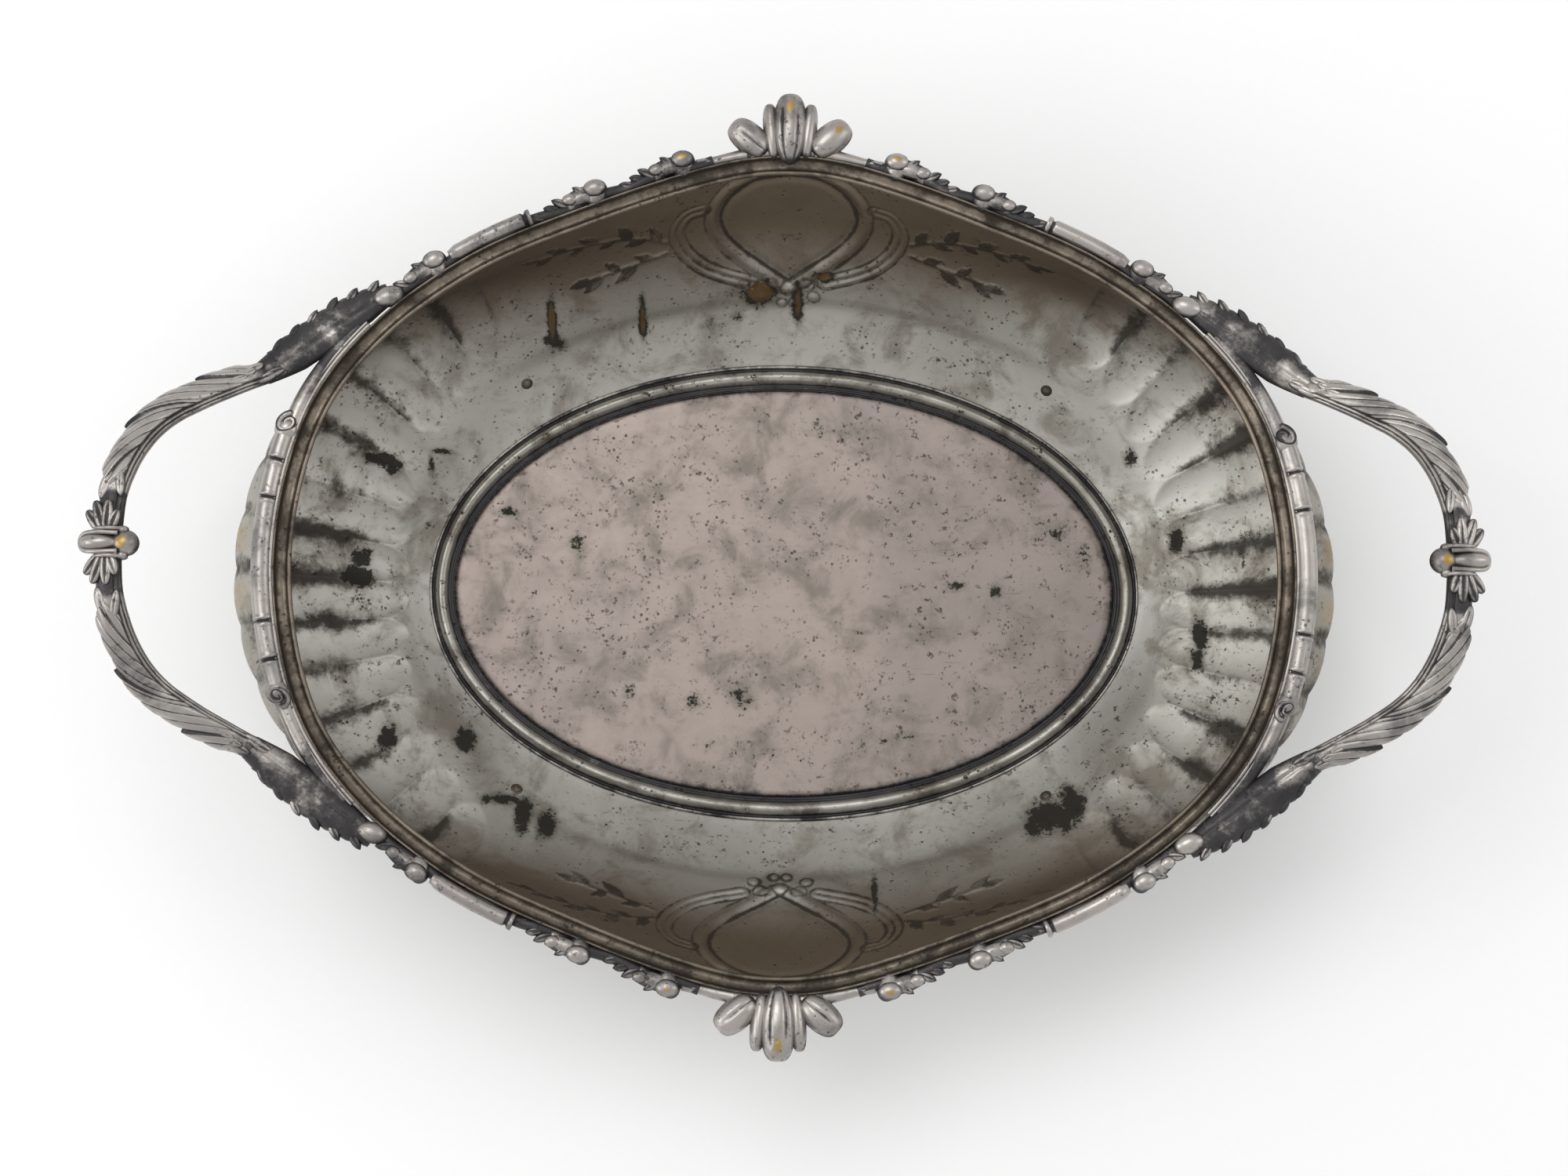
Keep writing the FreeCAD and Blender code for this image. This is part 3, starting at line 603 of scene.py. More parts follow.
def make_floor_plate(material):
    """The inset plate: a flat oval with a rolled edge and the slight waves of old sheet."""
    mesh = Mesh()
    spokes = 480
    angle = round_angles(spokes)[:, None]
    share = np.linspace(0.004, 1, 64)
    x = PLATE_X * share * np.cos(angle)
    y = PLATE_Y * share * np.sin(angle)
    wave = 0.16 * np.sin(x / 23 + 1.3) * np.cos(y / 19 - 0.4) + 0.08 * np.sin(x / 9 + y / 11)
    z = PLATE_HIGH[2] - 0.25 + wave * (1 - share**6) - 0.8 * smooth_step(share, 0.992, 1.0)
    top = np.stack([x, y, z], axis=2)
    grime = 0.35 * smooth_step(share, 0.93, 0.99) + 0.6 * smooth_step(share, 0.985, 1.0)
    mark, _ = stain_paint(top, [(*stain, 0) for stain in PLATE_STAINS])
    mesh.grid(top, closed_u=True, flip=True, grime=grime, mark=mark * PLATE_STAIN_SHARE)
    bottom = top[:, [0, -1]].copy()
    bottom[..., 2] = PLATE_LOW[2]
    mesh.grid(bottom, closed_u=True, grime=0.5)
    mesh.grid(np.stack([top[:, -1], bottom[:, -1]], axis=1), closed_u=True, flip=True, grime=0.8)
    mesh.add(top[:, 0], [tuple(range(spokes))])
    mesh.add(bottom[:, 0], [tuple(reversed(range(spokes)))], grime=0.5)
    mesh.make("floor_disc", material, "floor_plate")


def make_floor_ring(material):
    """The half-round moulding over the seam, bright on top and dark in its two grooves."""
    mesh = Mesh()
    out, height, dirt_and_shade = smooth_line(RING_SECTION, 72, closed=True).T
    angle = round_angles(600)[:, None]
    x = (PLATE_X + out) * np.cos(angle)
    y = (PLATE_Y + out) * np.sin(angle)
    dents = 0.12 * np.sin(angle * 31) * np.sin(angle * 7 + 1) * bump(out - 4.8, 2.0)
    points = np.stack([x, y, RING_SEAT + height + dents], axis=2)
    mesh.grid(points, closed_u=True, closed_v=True, flip=True, grime=np.clip(dirt_and_shade, 0, 1))
    mesh.make("floor_moulding", material, "floor_ring")


# ---- rim

# Section of the rim band: out from the inner edge, height over the wall's top, dirt and painted shade; the
# lower values in the cove's middle paint a highlight.
BAND_SECTION = (
    (0.0, 0.1, 0.6), (-0.35, 0.9, 0.35), (0.3, 1.6, 0.25), (1.1, 1.4, 0.6), (1.8, 0.7, 0.75),
    (3.2, 0.7, 0.46), (4.6, 1.6, 0.62), (5.3, 2.5, 0.95), (5.7, 3.5, 0.6), (6.3, 3.6, 0.35),
    (6.5, 2.8, 0.8), (6.4, 1.2, 1.0), (4.6, -0.6, 1.0), (2.2, 0.1, 1.0),
)
# An end roll: distance out from the rim's inner edge, radius, lift, half its length.
ROLL_OFFSET, ROLL_RADIUS, ROLL_LIFT, ROLL_HALF = 10.6, 3.7, 2.2, 45.5
RIBBON_PLACES, REED_HALF = (35.0, 21.5), 92


def make_rim_band(material):
    """The coved band round the mouth, lip inside and fine bead outside."""
    mesh = Mesh()
    out_by, height, dirt_and_shade = smooth_line(BAND_SECTION, 56, closed=True).T
    length = np.arange(720) / 720 * RIM.perimeter
    base = RIM.at(length)
    out = RIM.at(length, 1.0) - base
    points = base[:, None] + out[:, None] * out_by[None, :, None]
    points[..., 2] = base[:, 2:] + height + (0.1 * np.sin(length / 9) * np.sin(length / 31))[:, None]
    mesh.grid(points, closed_u=True, closed_v=True, flip=True, grime=np.clip(dirt_and_shade, 0, 1))
    mesh.make("rim_moulding", material, "rim_band")


def make_end_roll(side, sign, material):
    """The bound roll: a bar with ribbon lines, two reeds beside it, and a volute and tail each end."""
    mesh = Mesh()
    length = np.linspace(-ROLL_HALF, ROLL_HALF, 420)
    swell = ROLL_RADIUS + 0 * length
    lines = 0 * length
    for place in RIBBON_PLACES:
        for way in (-1, 1):
            gap = length - way * place
            swell += 0.22 * bump(gap - 1.3, 0.7) + 0.22 * bump(gap + 1.3, 0.7) - 0.8 * bump(gap, 0.45)
            lines = np.maximum(lines, bump(gap, 0.75))
    swell *= 1 - 0.10 * (length / ROLL_HALF) ** 2
    path = RIM.at(length, ROLL_OFFSET, ROLL_LIFT)
    # Dark ribbon seams, and painted shade low on the roll's sides.
    tube(mesh, path, swell, swell * 0.95, 28, grime=lined_grime(lines, 0.4))
    for offset, radius in ((7.0, 0.75), (8.3, 0.6)):
        reed = RIM.at(np.linspace(-REED_HALF, REED_HALF, 200), offset, 3.0)
        tube(mesh, reed, radius, radius * 1.3, 10)

    # The tails: painted shade low on their sides, and darker away from the roll.
    def fade(share, angle):
        return np.clip(low_grime(share, angle) + 0.8 * smooth_step(share, 0.1, 0.6), 0, 1)

    for way in (-1, 1):
        end = RIM.at(way * (ROLL_HALF + 0.5), ROLL_OFFSET, ROLL_LIFT)[0]
        ahead = unit(RIM.at(way * (ROLL_HALF + 5), ROLL_OFFSET, ROLL_LIFT)[0] - end)
        petal(mesh, end, ahead, (9.5, 9.0, 7.5), tip=0.1)
        volute(mesh, end + ahead * 2.2 + (0, 0, 2.6), ahead, np.array([-1.0, 0, 0]), 3.9, 1.25, -way)
        run = way * np.linspace(ROLL_HALF + 3, ROLL_HALF + 44, 60)
        tail = RIM.at(run, ROLL_OFFSET - 1.0, ROLL_LIFT - 0.4)
        tube(mesh, tail, np.linspace(3.4, 2.2, 60), np.linspace(2.8, 1.8, 60), 16, grime=fade)
    mesh.make(f"end_roll_{side}_cast", material, f"end_roll_{side}", (sign, 1))


# ---- rim ornament

# Along the rim: a flank border's stem, its three scrolls, its plain roll, and its loose leaves.
STEM_RUN, SCROLL_PLACES = (102.0, 232.0), (221.3, 187.4, 123.9)
BAR_RUN, LEAF_PLACES = (161.5, 129.5), (170.5, 164.0, 205.0, 199.5)
# The two eyes of a scroll group: back along the rim, out, radius, share of the brass, lift.
EYES = ((0.0, 9.8, 4.4, 1.0, 3.2), (10.2, 9.6, 3.0, 0.6, 2.6))
# Its leaf tips: back along the rim, out.
SCROLL_LEAVES = ((4.9, 11.6), (13.8, 10.6), (17.6, 9.8))
# A crest's middle: distance back, height over the wall.
CREST_OUT, CREST_LIFT = 166.4, 3.6


def knob(mesh, length, offset, radius, gold, lift):
    """The eye of a scroll: a round boss on a short barrel, with a small groove round it."""
    here, along, out = RIM.place(length, offset, lift)
    size = radius * np.array([2.5, 1.9, 1.7])
    # The barrel is darkened with painted shade; the boss on top only a little.
    petal(mesh, here - (0, 0, 1.8), along * 0.6 + out * 0.8, size, dirt_and_shade=0.45)
    top = here + out * radius * 0.35 + (0, 0, radius * 0.30)
    petal(mesh, top, along * 0.2 + out, radius * np.array([1.5, 2.0, 1.3]), gold=gold, dirt_and_shade=0.14)


def scroll_group(mesh, length, gold):
    """A C-scroll along the border: a large eye, a small one, and leaf tips that follow them."""
    for back, out_by, radius, brass, lift in EYES:
        knob(mesh, length - back, out_by, radius, gold * brass, lift)
    path = RIM.at(np.linspace(length + 3.0, length - 12.5, 30), 10.4, 0.6)
    lean = np.sin(np.linspace(0, math.pi, 30))
    path[:, 2] += 1.6 * lean
    # Painted shade: the C-scroll's bar is dark, lightest on its top.
    grime = lambda share, angle: np.clip(0.95 - 0.6 * np.sin(angle), 0, 1)
    tube(mesh, path, 2.2 + 1.1 * lean, 2.2 + 0.8 * lean, 18, relief=reeded(9, 0.25), grime=grime)
    for k, (back, out_by) in enumerate(SCROLL_LEAVES):
        here, along, out = RIM.place(length - back, out_by, 2.2 - 0.4 * k)
        way = out * (0.9 - 0.25 * k) - along * 0.8
        petal(mesh, here, way, (9.0 - k, 3.4, 4.6), groove=0.25, tip=0.9, curl=0.8, dirt_and_shade=0.3 + 0.15 * k)


def make_flank_border(name, signs, golds, material):
    """One quarter's cast border: a stem along the rim, three scroll groups and a plain roll."""
    mesh = Mesh()
    run = np.linspace(*STEM_RUN, 300)
    stem = RIM.at(run, 8.4 + 0.5 * np.sin(run / 4.1), 0.8)
    # The stem is darkened all over with dirt and painted shade, a little less on its top.
    grime = lambda share, angle: 1.0 - 0.12 * np.sin(angle)
    tube(mesh, stem, 2.3, 2.4 + 0.5 * np.sin(run / 2.9), 16, grime=grime)
    tip = RIM.at(np.linspace(226, 243, 60), 8.4, 0.6)
    tube(mesh, tip, np.linspace(2.4, 0.9, 60), np.linspace(2.6, 1.0, 60), 16)
    for place, gold in zip(SCROLL_PLACES, golds):
        scroll_group(mesh, place, gold)
    share = np.linspace(0, 1, 120)
    size = 2.9 - 0.9 * bump(share - 0.07, 0.02) + 0.4 * bump(share - 0.02, 0.04)
    size -= 0.8 * smooth_step(share, 0.9, 1)
    bar = RIM.at(np.linspace(*BAR_RUN, 120), 9.9, 2.2)
    tube(mesh, bar, size, size, 20, grime=lined_grime(bump(share - 0.07, 0.03), 0.62))
    for at in LEAF_PLACES:
        here, along, out = RIM.place(at, 8.6, 1.6)
        petal(mesh, here, out * 0.5 - along, (7.5, 3.2, 3.4), groove=0.2, tip=0.9, dirt_and_shade=0.5)
    mesh.make(f"flank_cast_{name}", material, f"flank_border_{name}", signs)


def crest_part(mesh, centre, direction, size, seams, tip, gold=0.0, wear=0.66):
    """A long bud with seams down its back and a worn spot towards its tip."""
    u = (np.arange(60) + 0.3) / 59.6 * math.pi
    v = round_angles(56)
    body = np.sin(u) ** np.where(u < math.pi / 2, 0.62 + 0.55 * tip, 0.6)
    back = np.clip(np.sin(v) * 2.5, 0, 1)
    cut = np.zeros(len(v))
    for seam in seams:
        cut = np.maximum(cut, bump(np.cos(v) - seam, 0.085) * back)
    cut = cut * (1 - smooth_step(u, 1.7, 2.5))[:, None]
    ring = 1 - 0.16 * cut * smooth_step(np.sin(u), 0.1, 0.7)[:, None]
    # Painted shade under the bud and at its root, and dark seams down its back.
    low = np.clip(0.82 - 1.0 * np.sin(v) * body[:, None], 0, 1)
    root = smooth_step(-u, -0.95, -0.2)[:, None]
    spot = np.abs(u / math.pi - wear)[:, None] / 0.09 + np.abs(np.cos(v)) / 0.26
    shine = gold * smooth_step(-spot, -1.25, -0.8) * (np.sin(v) > 0)
    dirt_and_shade = np.maximum(np.maximum(low, cut), root)
    points = egg(centre, direction, size, u, v, body, ring)
    mesh.grid(points, closed_v=True, caps=True, grime=dirt_and_shade, gold=shine)


def make_crest(end, sign_y, brass_side, material):
    """The palmette on a crest: a grooved central bud, two sepals and two side buds on a cast foot."""
    mesh = Mesh()
    y, z = CREST_OUT, CREST_LEVEL + CREST_LIFT
    crest_part(mesh, (0, y, z), (0, 1, 0.03), (27.0, 13.0, 12.6), (-0.5, 0.5), 0.9, gold=1.0, wear=0.70)
    for side in (-1, 1):
        crest_part(mesh, (side * 6.9, y - 0.8, z - 1.2), (side * 0.10, 1, 0.03), (21.5, 6.4, 9.0), (), 0.5)
        place, lean = (side * 15.2, y - 3.2, z - 1.6), (side * 0.86, 0.72, 0.0)
        gold, seams = (0.95, ()) if side == brass_side else (0.0, (0.15 * side,))
        crest_part(mesh, place, lean, (17.4, 11.8, 10.8), seams, 0.3, gold=gold)
        tail = RIM.at(QUARTER - side * np.linspace(9, 33, 40), 8.2, 0.6)
        size = np.linspace(3.0, 1.6, 40)
        tube(mesh, tail, size, size, 18)
    base = RIM.at(np.linspace(QUARTER - 15, QUARTER + 15, 50), 8.4, 0.4)
    # The foot is dark with dirt and painted shade, lighter on top.
    tube(mesh, base, 3.0, 3.0, 18, grime=lambda share, angle: 0.9 - 0.4 * np.sin(angle))
    mesh.make(f"crest_cast_{end}", material, f"crest_{end}", (1, sign_y))


# ---- handles

# A handle arm's centreline in one quarter: across, back, and its share of the rise to the collar.
ARM_LINE = (
    (191.6, 70.2, 0.06), (201.0, 65.4, 0.20), (213.0, 59.0, 0.34), (223.0, 52.0, 0.50),
    (230.5, 43.0, 0.66), (235.8, 31.0, 0.83), (238.4, 18.0, 0.95), (239.0, 4.0, 1.0),
)
ARM_STATIONS = 420
# Distances between an arm's ribs and between its leaves, and how far both lean back across it.
TOOTH_PITCH, LOBE_PITCH, VEIN_LEAN = 8.6, 30.0, 36.0
# Angles of the two grooves between its reeds, and the share of its length where the leaves end.
REED_ANGLE, INNER_REED, LEAF_END = 0.95, 0.55, 0.84
# Leaf tips at the arm's leaf end: place from its centreline, direction, size, curl.
END_LEAVES = (
    ((-2.4, 2.4, 2.7), (-0.12, -1, 0.1), (10.5, 3.6, 3.6), 0.9),
    ((2.7, 1.6, 2.2), (0.30, -1, 0.05), (11.5, 4.4, 4.2), 0.5),
)
# The wing's centreline in one quarter: across, back, height over the rim's ends.
WING_LINE = (
    (148.5, 101.5, -1.6), (157.5, 96.0, -1.0), (167.0, 89.5, -0.4), (177.5, 81.5, 0.4),
    (186.5, 74.4, 1.8), (193.8, 69.0, 3.6),
)
WING_STATIONS = 200
# Leaf tips on the wing's outer side: share of the way to the arm, distance out, dirt and painted shade.
WING_LEAVES = (
    (0.10, 5.2, 0.35), (0.24, 6.6, 0.5), (0.38, 7.6, 0.8), (0.53, 7.6, 0.4), (0.68, 7.2, 0.9),
    (0.82, 6.4, 0.6),
)
# The petals of a collar's shells: angle from straight out, length, height over the handle's middle.
SHELL = ((1.95, 9.4, 2.9), (1.62, 12.6, 3.2), (1.26, 12.8, 2.8), (0.92, 10.6, 1.8))


def arm_leaf(s, angle, total):
    """The arm's outer side, its leaves' ribs and overlaps, and where the leaves are, all from 0 to 1."""
    outer = (1 - np.cos(angle)) / 2
    shift = s * total - VEIN_LEAN * np.clip(outer, 0, 1) ** 0.8
    tooth = np.abs((shift / TOOTH_PITCH) % 1.0 - 0.5) * 2
    lobe = (shift / LOBE_PITCH + 0.30) % 1.0
    end = LEAF_END - 0.10 * np.abs(angle / math.pi - 0.62) * 2
    leaf = smooth_step(-s, -end - 0.012, -end + 0.012) * smooth_step(s, 0.06, 0.13)
    leaf = leaf * smooth_step(angle, REED_ANGLE - 0.1, REED_ANGLE + 0.1) * (angle < 1.75 * math.pi)
    return outer, tooth, lobe, leaf * smooth_step(np.sin(angle), -0.55, -0.1)


def make_arm(name, signs, material):
    """One arm: overlapping leaves with oblique ribs outside, two reeds inside, and a bare neck."""
    mesh = Mesh()
    rise = HANDLE_LEVEL - END_LEVEL
    path = smooth_line([(x, y, END_LEVEL + rise * share) for x, y, share in ARM_LINE], ARM_STATIONS)
    total = run_along(path)[-1]

    def relief(s, angle):
        outer, tooth, lobe, leaf = arm_leaf(s, angle, total)
        rib = 0.85 * (0.35 + 0.65 * outer) * (np.sqrt(1 - tooth**3) - 0.55)
        step = 1.25 * (lobe - 0.5) * outer
        reed = 0.75 * bump(angle - REED_ANGLE, 0.12) + 0.6 * bump(angle - INNER_REED, 0.09)
        return leaf * (1.1 + rib + step) - reed * smooth_step(s, 0.05, 0.1) * (s < 0.93)

    # Darkening of dirt and painted shade: in the cuts between ribs, painted shadow where the leaves
    # overlap, in the reed grooves, on the bare neck, on the underside and towards the root.
    def grime(s, angle):
        outer, tooth, lobe, leaf = arm_leaf(s, angle, total)
        cut = 0.85 * smooth_step(tooth, 0.72, 0.97) * leaf
        over = (bump(lobe, 0.035) + bump(lobe - 1, 0.03)) * leaf * (outer > 0.2)
        reed = np.maximum(bump(angle - REED_ANGLE, 0.13), bump(angle - INNER_REED, 0.1))
        neck = smooth_step(s, LEAF_END - 0.02, LEAF_END + 0.03) * 0.92
        below = np.clip(-0.2 - 1.1 * np.sin(angle), 0, 1)
        root = 0.75 * smooth_step(-s, -0.12, -0.02)
        dirt_and_shade = np.broadcast_arrays(cut, over, reed, neck, below, root)
        return np.clip(np.maximum.reduce(dirt_and_shade), 0, 1)

    share = np.linspace(0, 1, ARM_STATIONS)
    wide = np.interp(share, (0, 0.12, 0.35, 0.75, 0.86, 1.0), (4.2, 4.6, 5.3, 5.2, 4.7, 4.5))
    tall = np.interp(share, (0, 0.12, 0.35, 0.75, 0.86, 1.0), (3.6, 4.0, 4.2, 4.2, 3.9, 3.8))
    tube(mesh, path, wide, tall, 120, relief=relief, grime=grime)
    for offset, way, size, curl in END_LEAVES:
        place = path[int(ARM_STATIONS * LEAF_END)] + offset
        petal(mesh, place, way, size, groove=0.3, tip=0.5, curl=curl)
    for k, at in enumerate((0.055, 0.10, 0.15)):
        place = path[int(ARM_STATIONS * at)] + (1.2 - 1.2 * k, 1.5 - 0.6 * k, 3.6)
        petal(mesh, place, (1, -0.55, 0.3), (9.5, 3.4, 3.2), groove=0.3, tip=0.9)
    mesh.make(f"arm_cast_{name}", material, f"handle_arm_{name}", signs)


def make_bracket(name, signs, material):
    """The dark wing that carries the arm along the rim, leafy on its outer side."""
    mesh = Mesh()
    path = smooth_line([(x, y, END_LEVEL + lift) for x, y, lift in WING_LINE], WING_STATIONS)
    share = np.linspace(0, 1, WING_STATIONS)
    wide = np.interp(share, (0, 0.2, 0.5, 0.75, 1), (3.8, 6.2, 7.6, 7.2, 4.6))
    tall = np.interp(share, (0, 0.2, 0.5, 0.75, 1), (3.0, 4.2, 4.6, 4.4, 3.7))

    def relief(s, angle):
        edge = (1 - np.cos(angle)) / 2
        waves = np.cos((s * 6.5 + edge * 1.1) * 2 * math.pi)
        return 0.38 * waves * edge**2 * (s > 0.04) * (s < 0.9) - 0.5 * bump(angle - 1.3, 0.14)

    # The wing is dark with dirt and painted shade; a painted highlight lightens its top towards the arm,
    # and patches along its top.
    def grime(s, angle):
        top = np.clip(np.sin(angle), 0, 1)
        painted_highlight = top * smooth_step(np.cos(angle), -0.6, 0.2) * smooth_step(s, 0.45, 0.9)
        return np.clip(0.95 - 0.42 * painted_highlight - 0.24 * top**2 * (0.5 + 0.5 * np.sin(s * 15 + 1)), 0, 1)

    tube(mesh, path, wide, tall, 72, relief=relief, grime=grime)
    along, inward, _ = path_frames(path)
    for at, out_by, dirt_and_shade in WING_LEAVES:
        k = int(at * (WING_STATIONS - 1))
        place = path[k] - inward[k] * (out_by - 1.4) + (0, 0, 0.6)
        way = -along[k] - inward[k] * 0.55
        petal(mesh, place, way, (9.0, 3.6, 4.4), groove=0.25, tip=0.9, curl=0.6, dirt_and_shade=dirt_and_shade)
    for at, dirt_and_shade in ((0.93, 0.3), (0.99, 0.1)):
        k = int(at * (WING_STATIONS - 1))
        place = path[k] + inward[k] * 2.6 + (0, 0, 2.6)
        petal(mesh, place, -along[k] + inward[k] * 0.15, (10.0, 3.8, 3.4), groove=0.3, tip=0.9, dirt_and_shade=dirt_and_shade)
    place = path[4] + inward[4] * 1.6 + (0, 0, 1.8)
    petal(mesh, place, -along[4] + inward[4] * 0.2, (12.0, 7.8, 7.6), gold=0.25, dirt_and_shade=0.25)
    mesh.make(f"bracket_cast_{name}", material, f"handle_bracket_{name}", signs)


def torus_ring(mesh, line, radius):
    """A thin ring along a closed line of points."""
    along = unit(np.roll(line, -1, axis=0) - np.roll(line, 1, axis=0))
    out = line - line.mean(axis=0)
    out = unit(out - (out * along).sum(axis=1)[:, None] * along)
    turn = round_angles(12)
    points = round_skin(line, out, np.cross(along, out), radius * np.cos(turn), radius * np.sin(turn))
    # Painted shade on the ring bar's inner side.
    mesh.grid(points, closed_u=True, closed_v=True, flip=True, grime=0.5 - 0.5 * np.cos(turn))


def make_collar(side, sign_x, material):
    """The collar at the middle of a handle: a bordered tongue, a round boss inside, and two shells."""
    mesh = Mesh()
    x, z = COLLAR_X, HANDLE_LEVEL
    petal(mesh, (x + 2.9, 0, z), (1, 0, 0), (15.6, 7.6, 10.6))
    border = [(x - 4.0, -3.2), (x + 3.0, -3.5), (x + 8.4, -2.9), (x + 10.0, 0)]
    border += [(px, -py) for px, py in reversed(border[:-1])]
    edge = smooth_line([(px, py, z + 4.3 - 0.035 * max(px - x, 0) ** 2) for px, py in border], 120)
    tube(mesh, edge, 0.85, 0.9, 12)
    for turn in (-1, 1):
        ring = round_angles(60)
        band = [x - 0.6 + 5.6 * np.cos(ring), turn * 4.9 + 0 * ring, z + 4.6 * np.sin(ring)]
        torus_ring(mesh, np.stack(band, axis=1), 0.75)
        for k, (angle, reach, lift) in enumerate(SHELL):
            lean = np.array([math.cos(angle), turn * math.sin(angle), -0.04 * k])
            place = np.array([x - 0.4 + 0.8 * k, turn * 3.6, z + lift - 0.6]) + lean * reach * 0.42
            petal(mesh, place, lean, (reach, 4.5, 4.2), groove=0.5, tip=-0.3, curl=0.6, dirt_and_shade=0.22)
    petal(mesh, (x - 6.0, 0, z + 0.2), (1, 0, 0), (9.6, 9.4, 10.2), gold=1.0)
    for y in (-4.5, 4.5):
        petal(mesh, (x - 5.2, y, z + 1.6), (1, 0, 0), (4.4, 3.2, 4.6))
    mesh.make(f"collar_cast_{side}", material, f"handle_collar_{side}", (sign_x, 1))


# ---- feet

FOOT_PLACE = np.array([102.7, 80.3, 0])
LEG_STATIONS = 90
# The rolled toe: distance out, height, radius, half width, and places of its two scrolls.
TOE_OUT, TOE_LEVEL, TOE_RADIUS, TOE_HALF, TOE_SCROLLS = 15.6, 4.95, 4.3, 6.6, (-5.2, 5.2)
# A leg's centreline: out from the foot's place, height.
LEG_LINE = ((-2.2, 29.6), (0.6, 24.5), (1.6, 18.5), (3.6, 13.0), (7.6, 8.6), (12.2, 6.4))
# The leaves on a foot's back: place across, lean, length.
FOOT_LEAVES = (
    (0, 0, 17.0), (-4.4, -0.35, 14.5), (4.4, 0.35, 14.5), (-7.6, -0.75, 11.0), (7.6, 0.75, 11.0),
)
# A stud end: radius, height over the bowl's skin, darkening.
STUD_SECTION = (
    (2.3, -0.9, 1.0), (2.3, 0.1, 1.0), (1.9, 0.35, 0.5), (1.5, 0.2, 1.0), (1.2, 0.3, 0.5), (0.3, 0.4, 0.3),
)


def make_foot(name, signs, material):
    """A cast scroll foot: a leaf-backed leg that stands out to a rolled toe."""
    mesh = Mesh()
    out = unit(FOOT_PLACE)
    side = np.array([-out[1], out[0], 0])
    place = lambda r, z, s=0.0: FOOT_PLACE + out * r + side * s + (0, 0, z)
    line = smooth_line([place(r, z) for r, z in LEG_LINE], LEG_STATIONS)
    share = np.linspace(0, 1, LEG_STATIONS)
    wide = np.interp(share, (0, 0.3, 0.7, 1), (6.0, 5.0, 4.6, 5.6))[:, None]
    thick = np.interp(share, (0, 0.3, 1), (4.6, 3.9, 3.0))[:, None]
    front = np.cross(unit(np.gradient(line, axis=0)), side)
    ring = round_angles(56)
    ribs = 1 + 0.07 * np.cos(ring * 7)
    points = round_skin(line, side, front, np.cos(ring) * ribs * wide, np.sin(ring) * ribs * thick)
    dirt_and_shade = np.clip(0.6 - 0.5 * np.cos(ring * 7), 0, 1)
    mesh.grid(points, closed_v=True, caps=True, flip=True, grime=dirt_and_shade)
    for s in TOE_SCROLLS:
        volute(mesh, place(TOE_OUT, TOE_LEVEL, s), out, UP, TOE_RADIUS - 0.2, 1.5, -1)
    core = np.stack([place(TOE_OUT, TOE_LEVEL, s) for s in np.linspace(-TOE_HALF, TOE_HALF, 30)])
    tube(mesh, core, TOE_RADIUS, TOE_RADIUS, 28, relief=reeded(10, 0.15))
    for s, lean, reach in FOOT_LEAVES:
        root, way = place(5.4, 23.0 - abs(s) * 0.3, s), out * 0.42 + side * lean + UP
        petal(mesh, root, way, (reach, 5.4, 4.6), groove=0.35, tip=0.9, up=-out)
    mesh.make(f"foot_cast_{name}", material, f"foot_{name}", signs)


def make_studs(material):
    """The ends of the feet's studs, filed nearly flush on the inside of the bowl."""
    mesh = Mesh()
    skin, outward = bowl_skin(40)[:2]
    nearest = np.argmin(np.hypot(*(skin - FOOT_PLACE)[..., :2].transpose(2, 0, 1)))
    spot = np.unravel_index(nearest, skin.shape[:2])
    inward = -outward[spot]
    across = unit(np.cross(inward, UP))
    radius, height, dirt_and_shade = (column[:, None] for column in np.array(STUD_SECTION).T)
    turn = round_angles(32)
    line = skin[spot] + inward * height
    over = np.cross(across, inward)
    points = round_skin(line, across, over, radius * np.cos(turn), radius * np.sin(turn))
    for _, signs, _ in QUARTERS:
        flip = signs[0] * signs[1] < 0
        mesh.grid(points * (*signs, 1), closed_v=True, caps=True, flip=flip, grime=dirt_and_shade)
    mesh.make("stud_ends", material, "foot_studs")


# ---- materials


class Signal:
    """A node's output in a shader, for plain sums."""

    def __init__(self, shader, socket):
        self.shader, self.socket = shader, socket

    def __add__(self, other):
        return self.shader.math("ADD", self, other)

    def __sub__(self, other):
        return self.shader.math("SUBTRACT", self, other)

    def __rsub__(self, other):
        return self.shader.math("SUBTRACT", other, self)

    def __mul__(self, other):
        return self.shader.math("MULTIPLY", self, other)


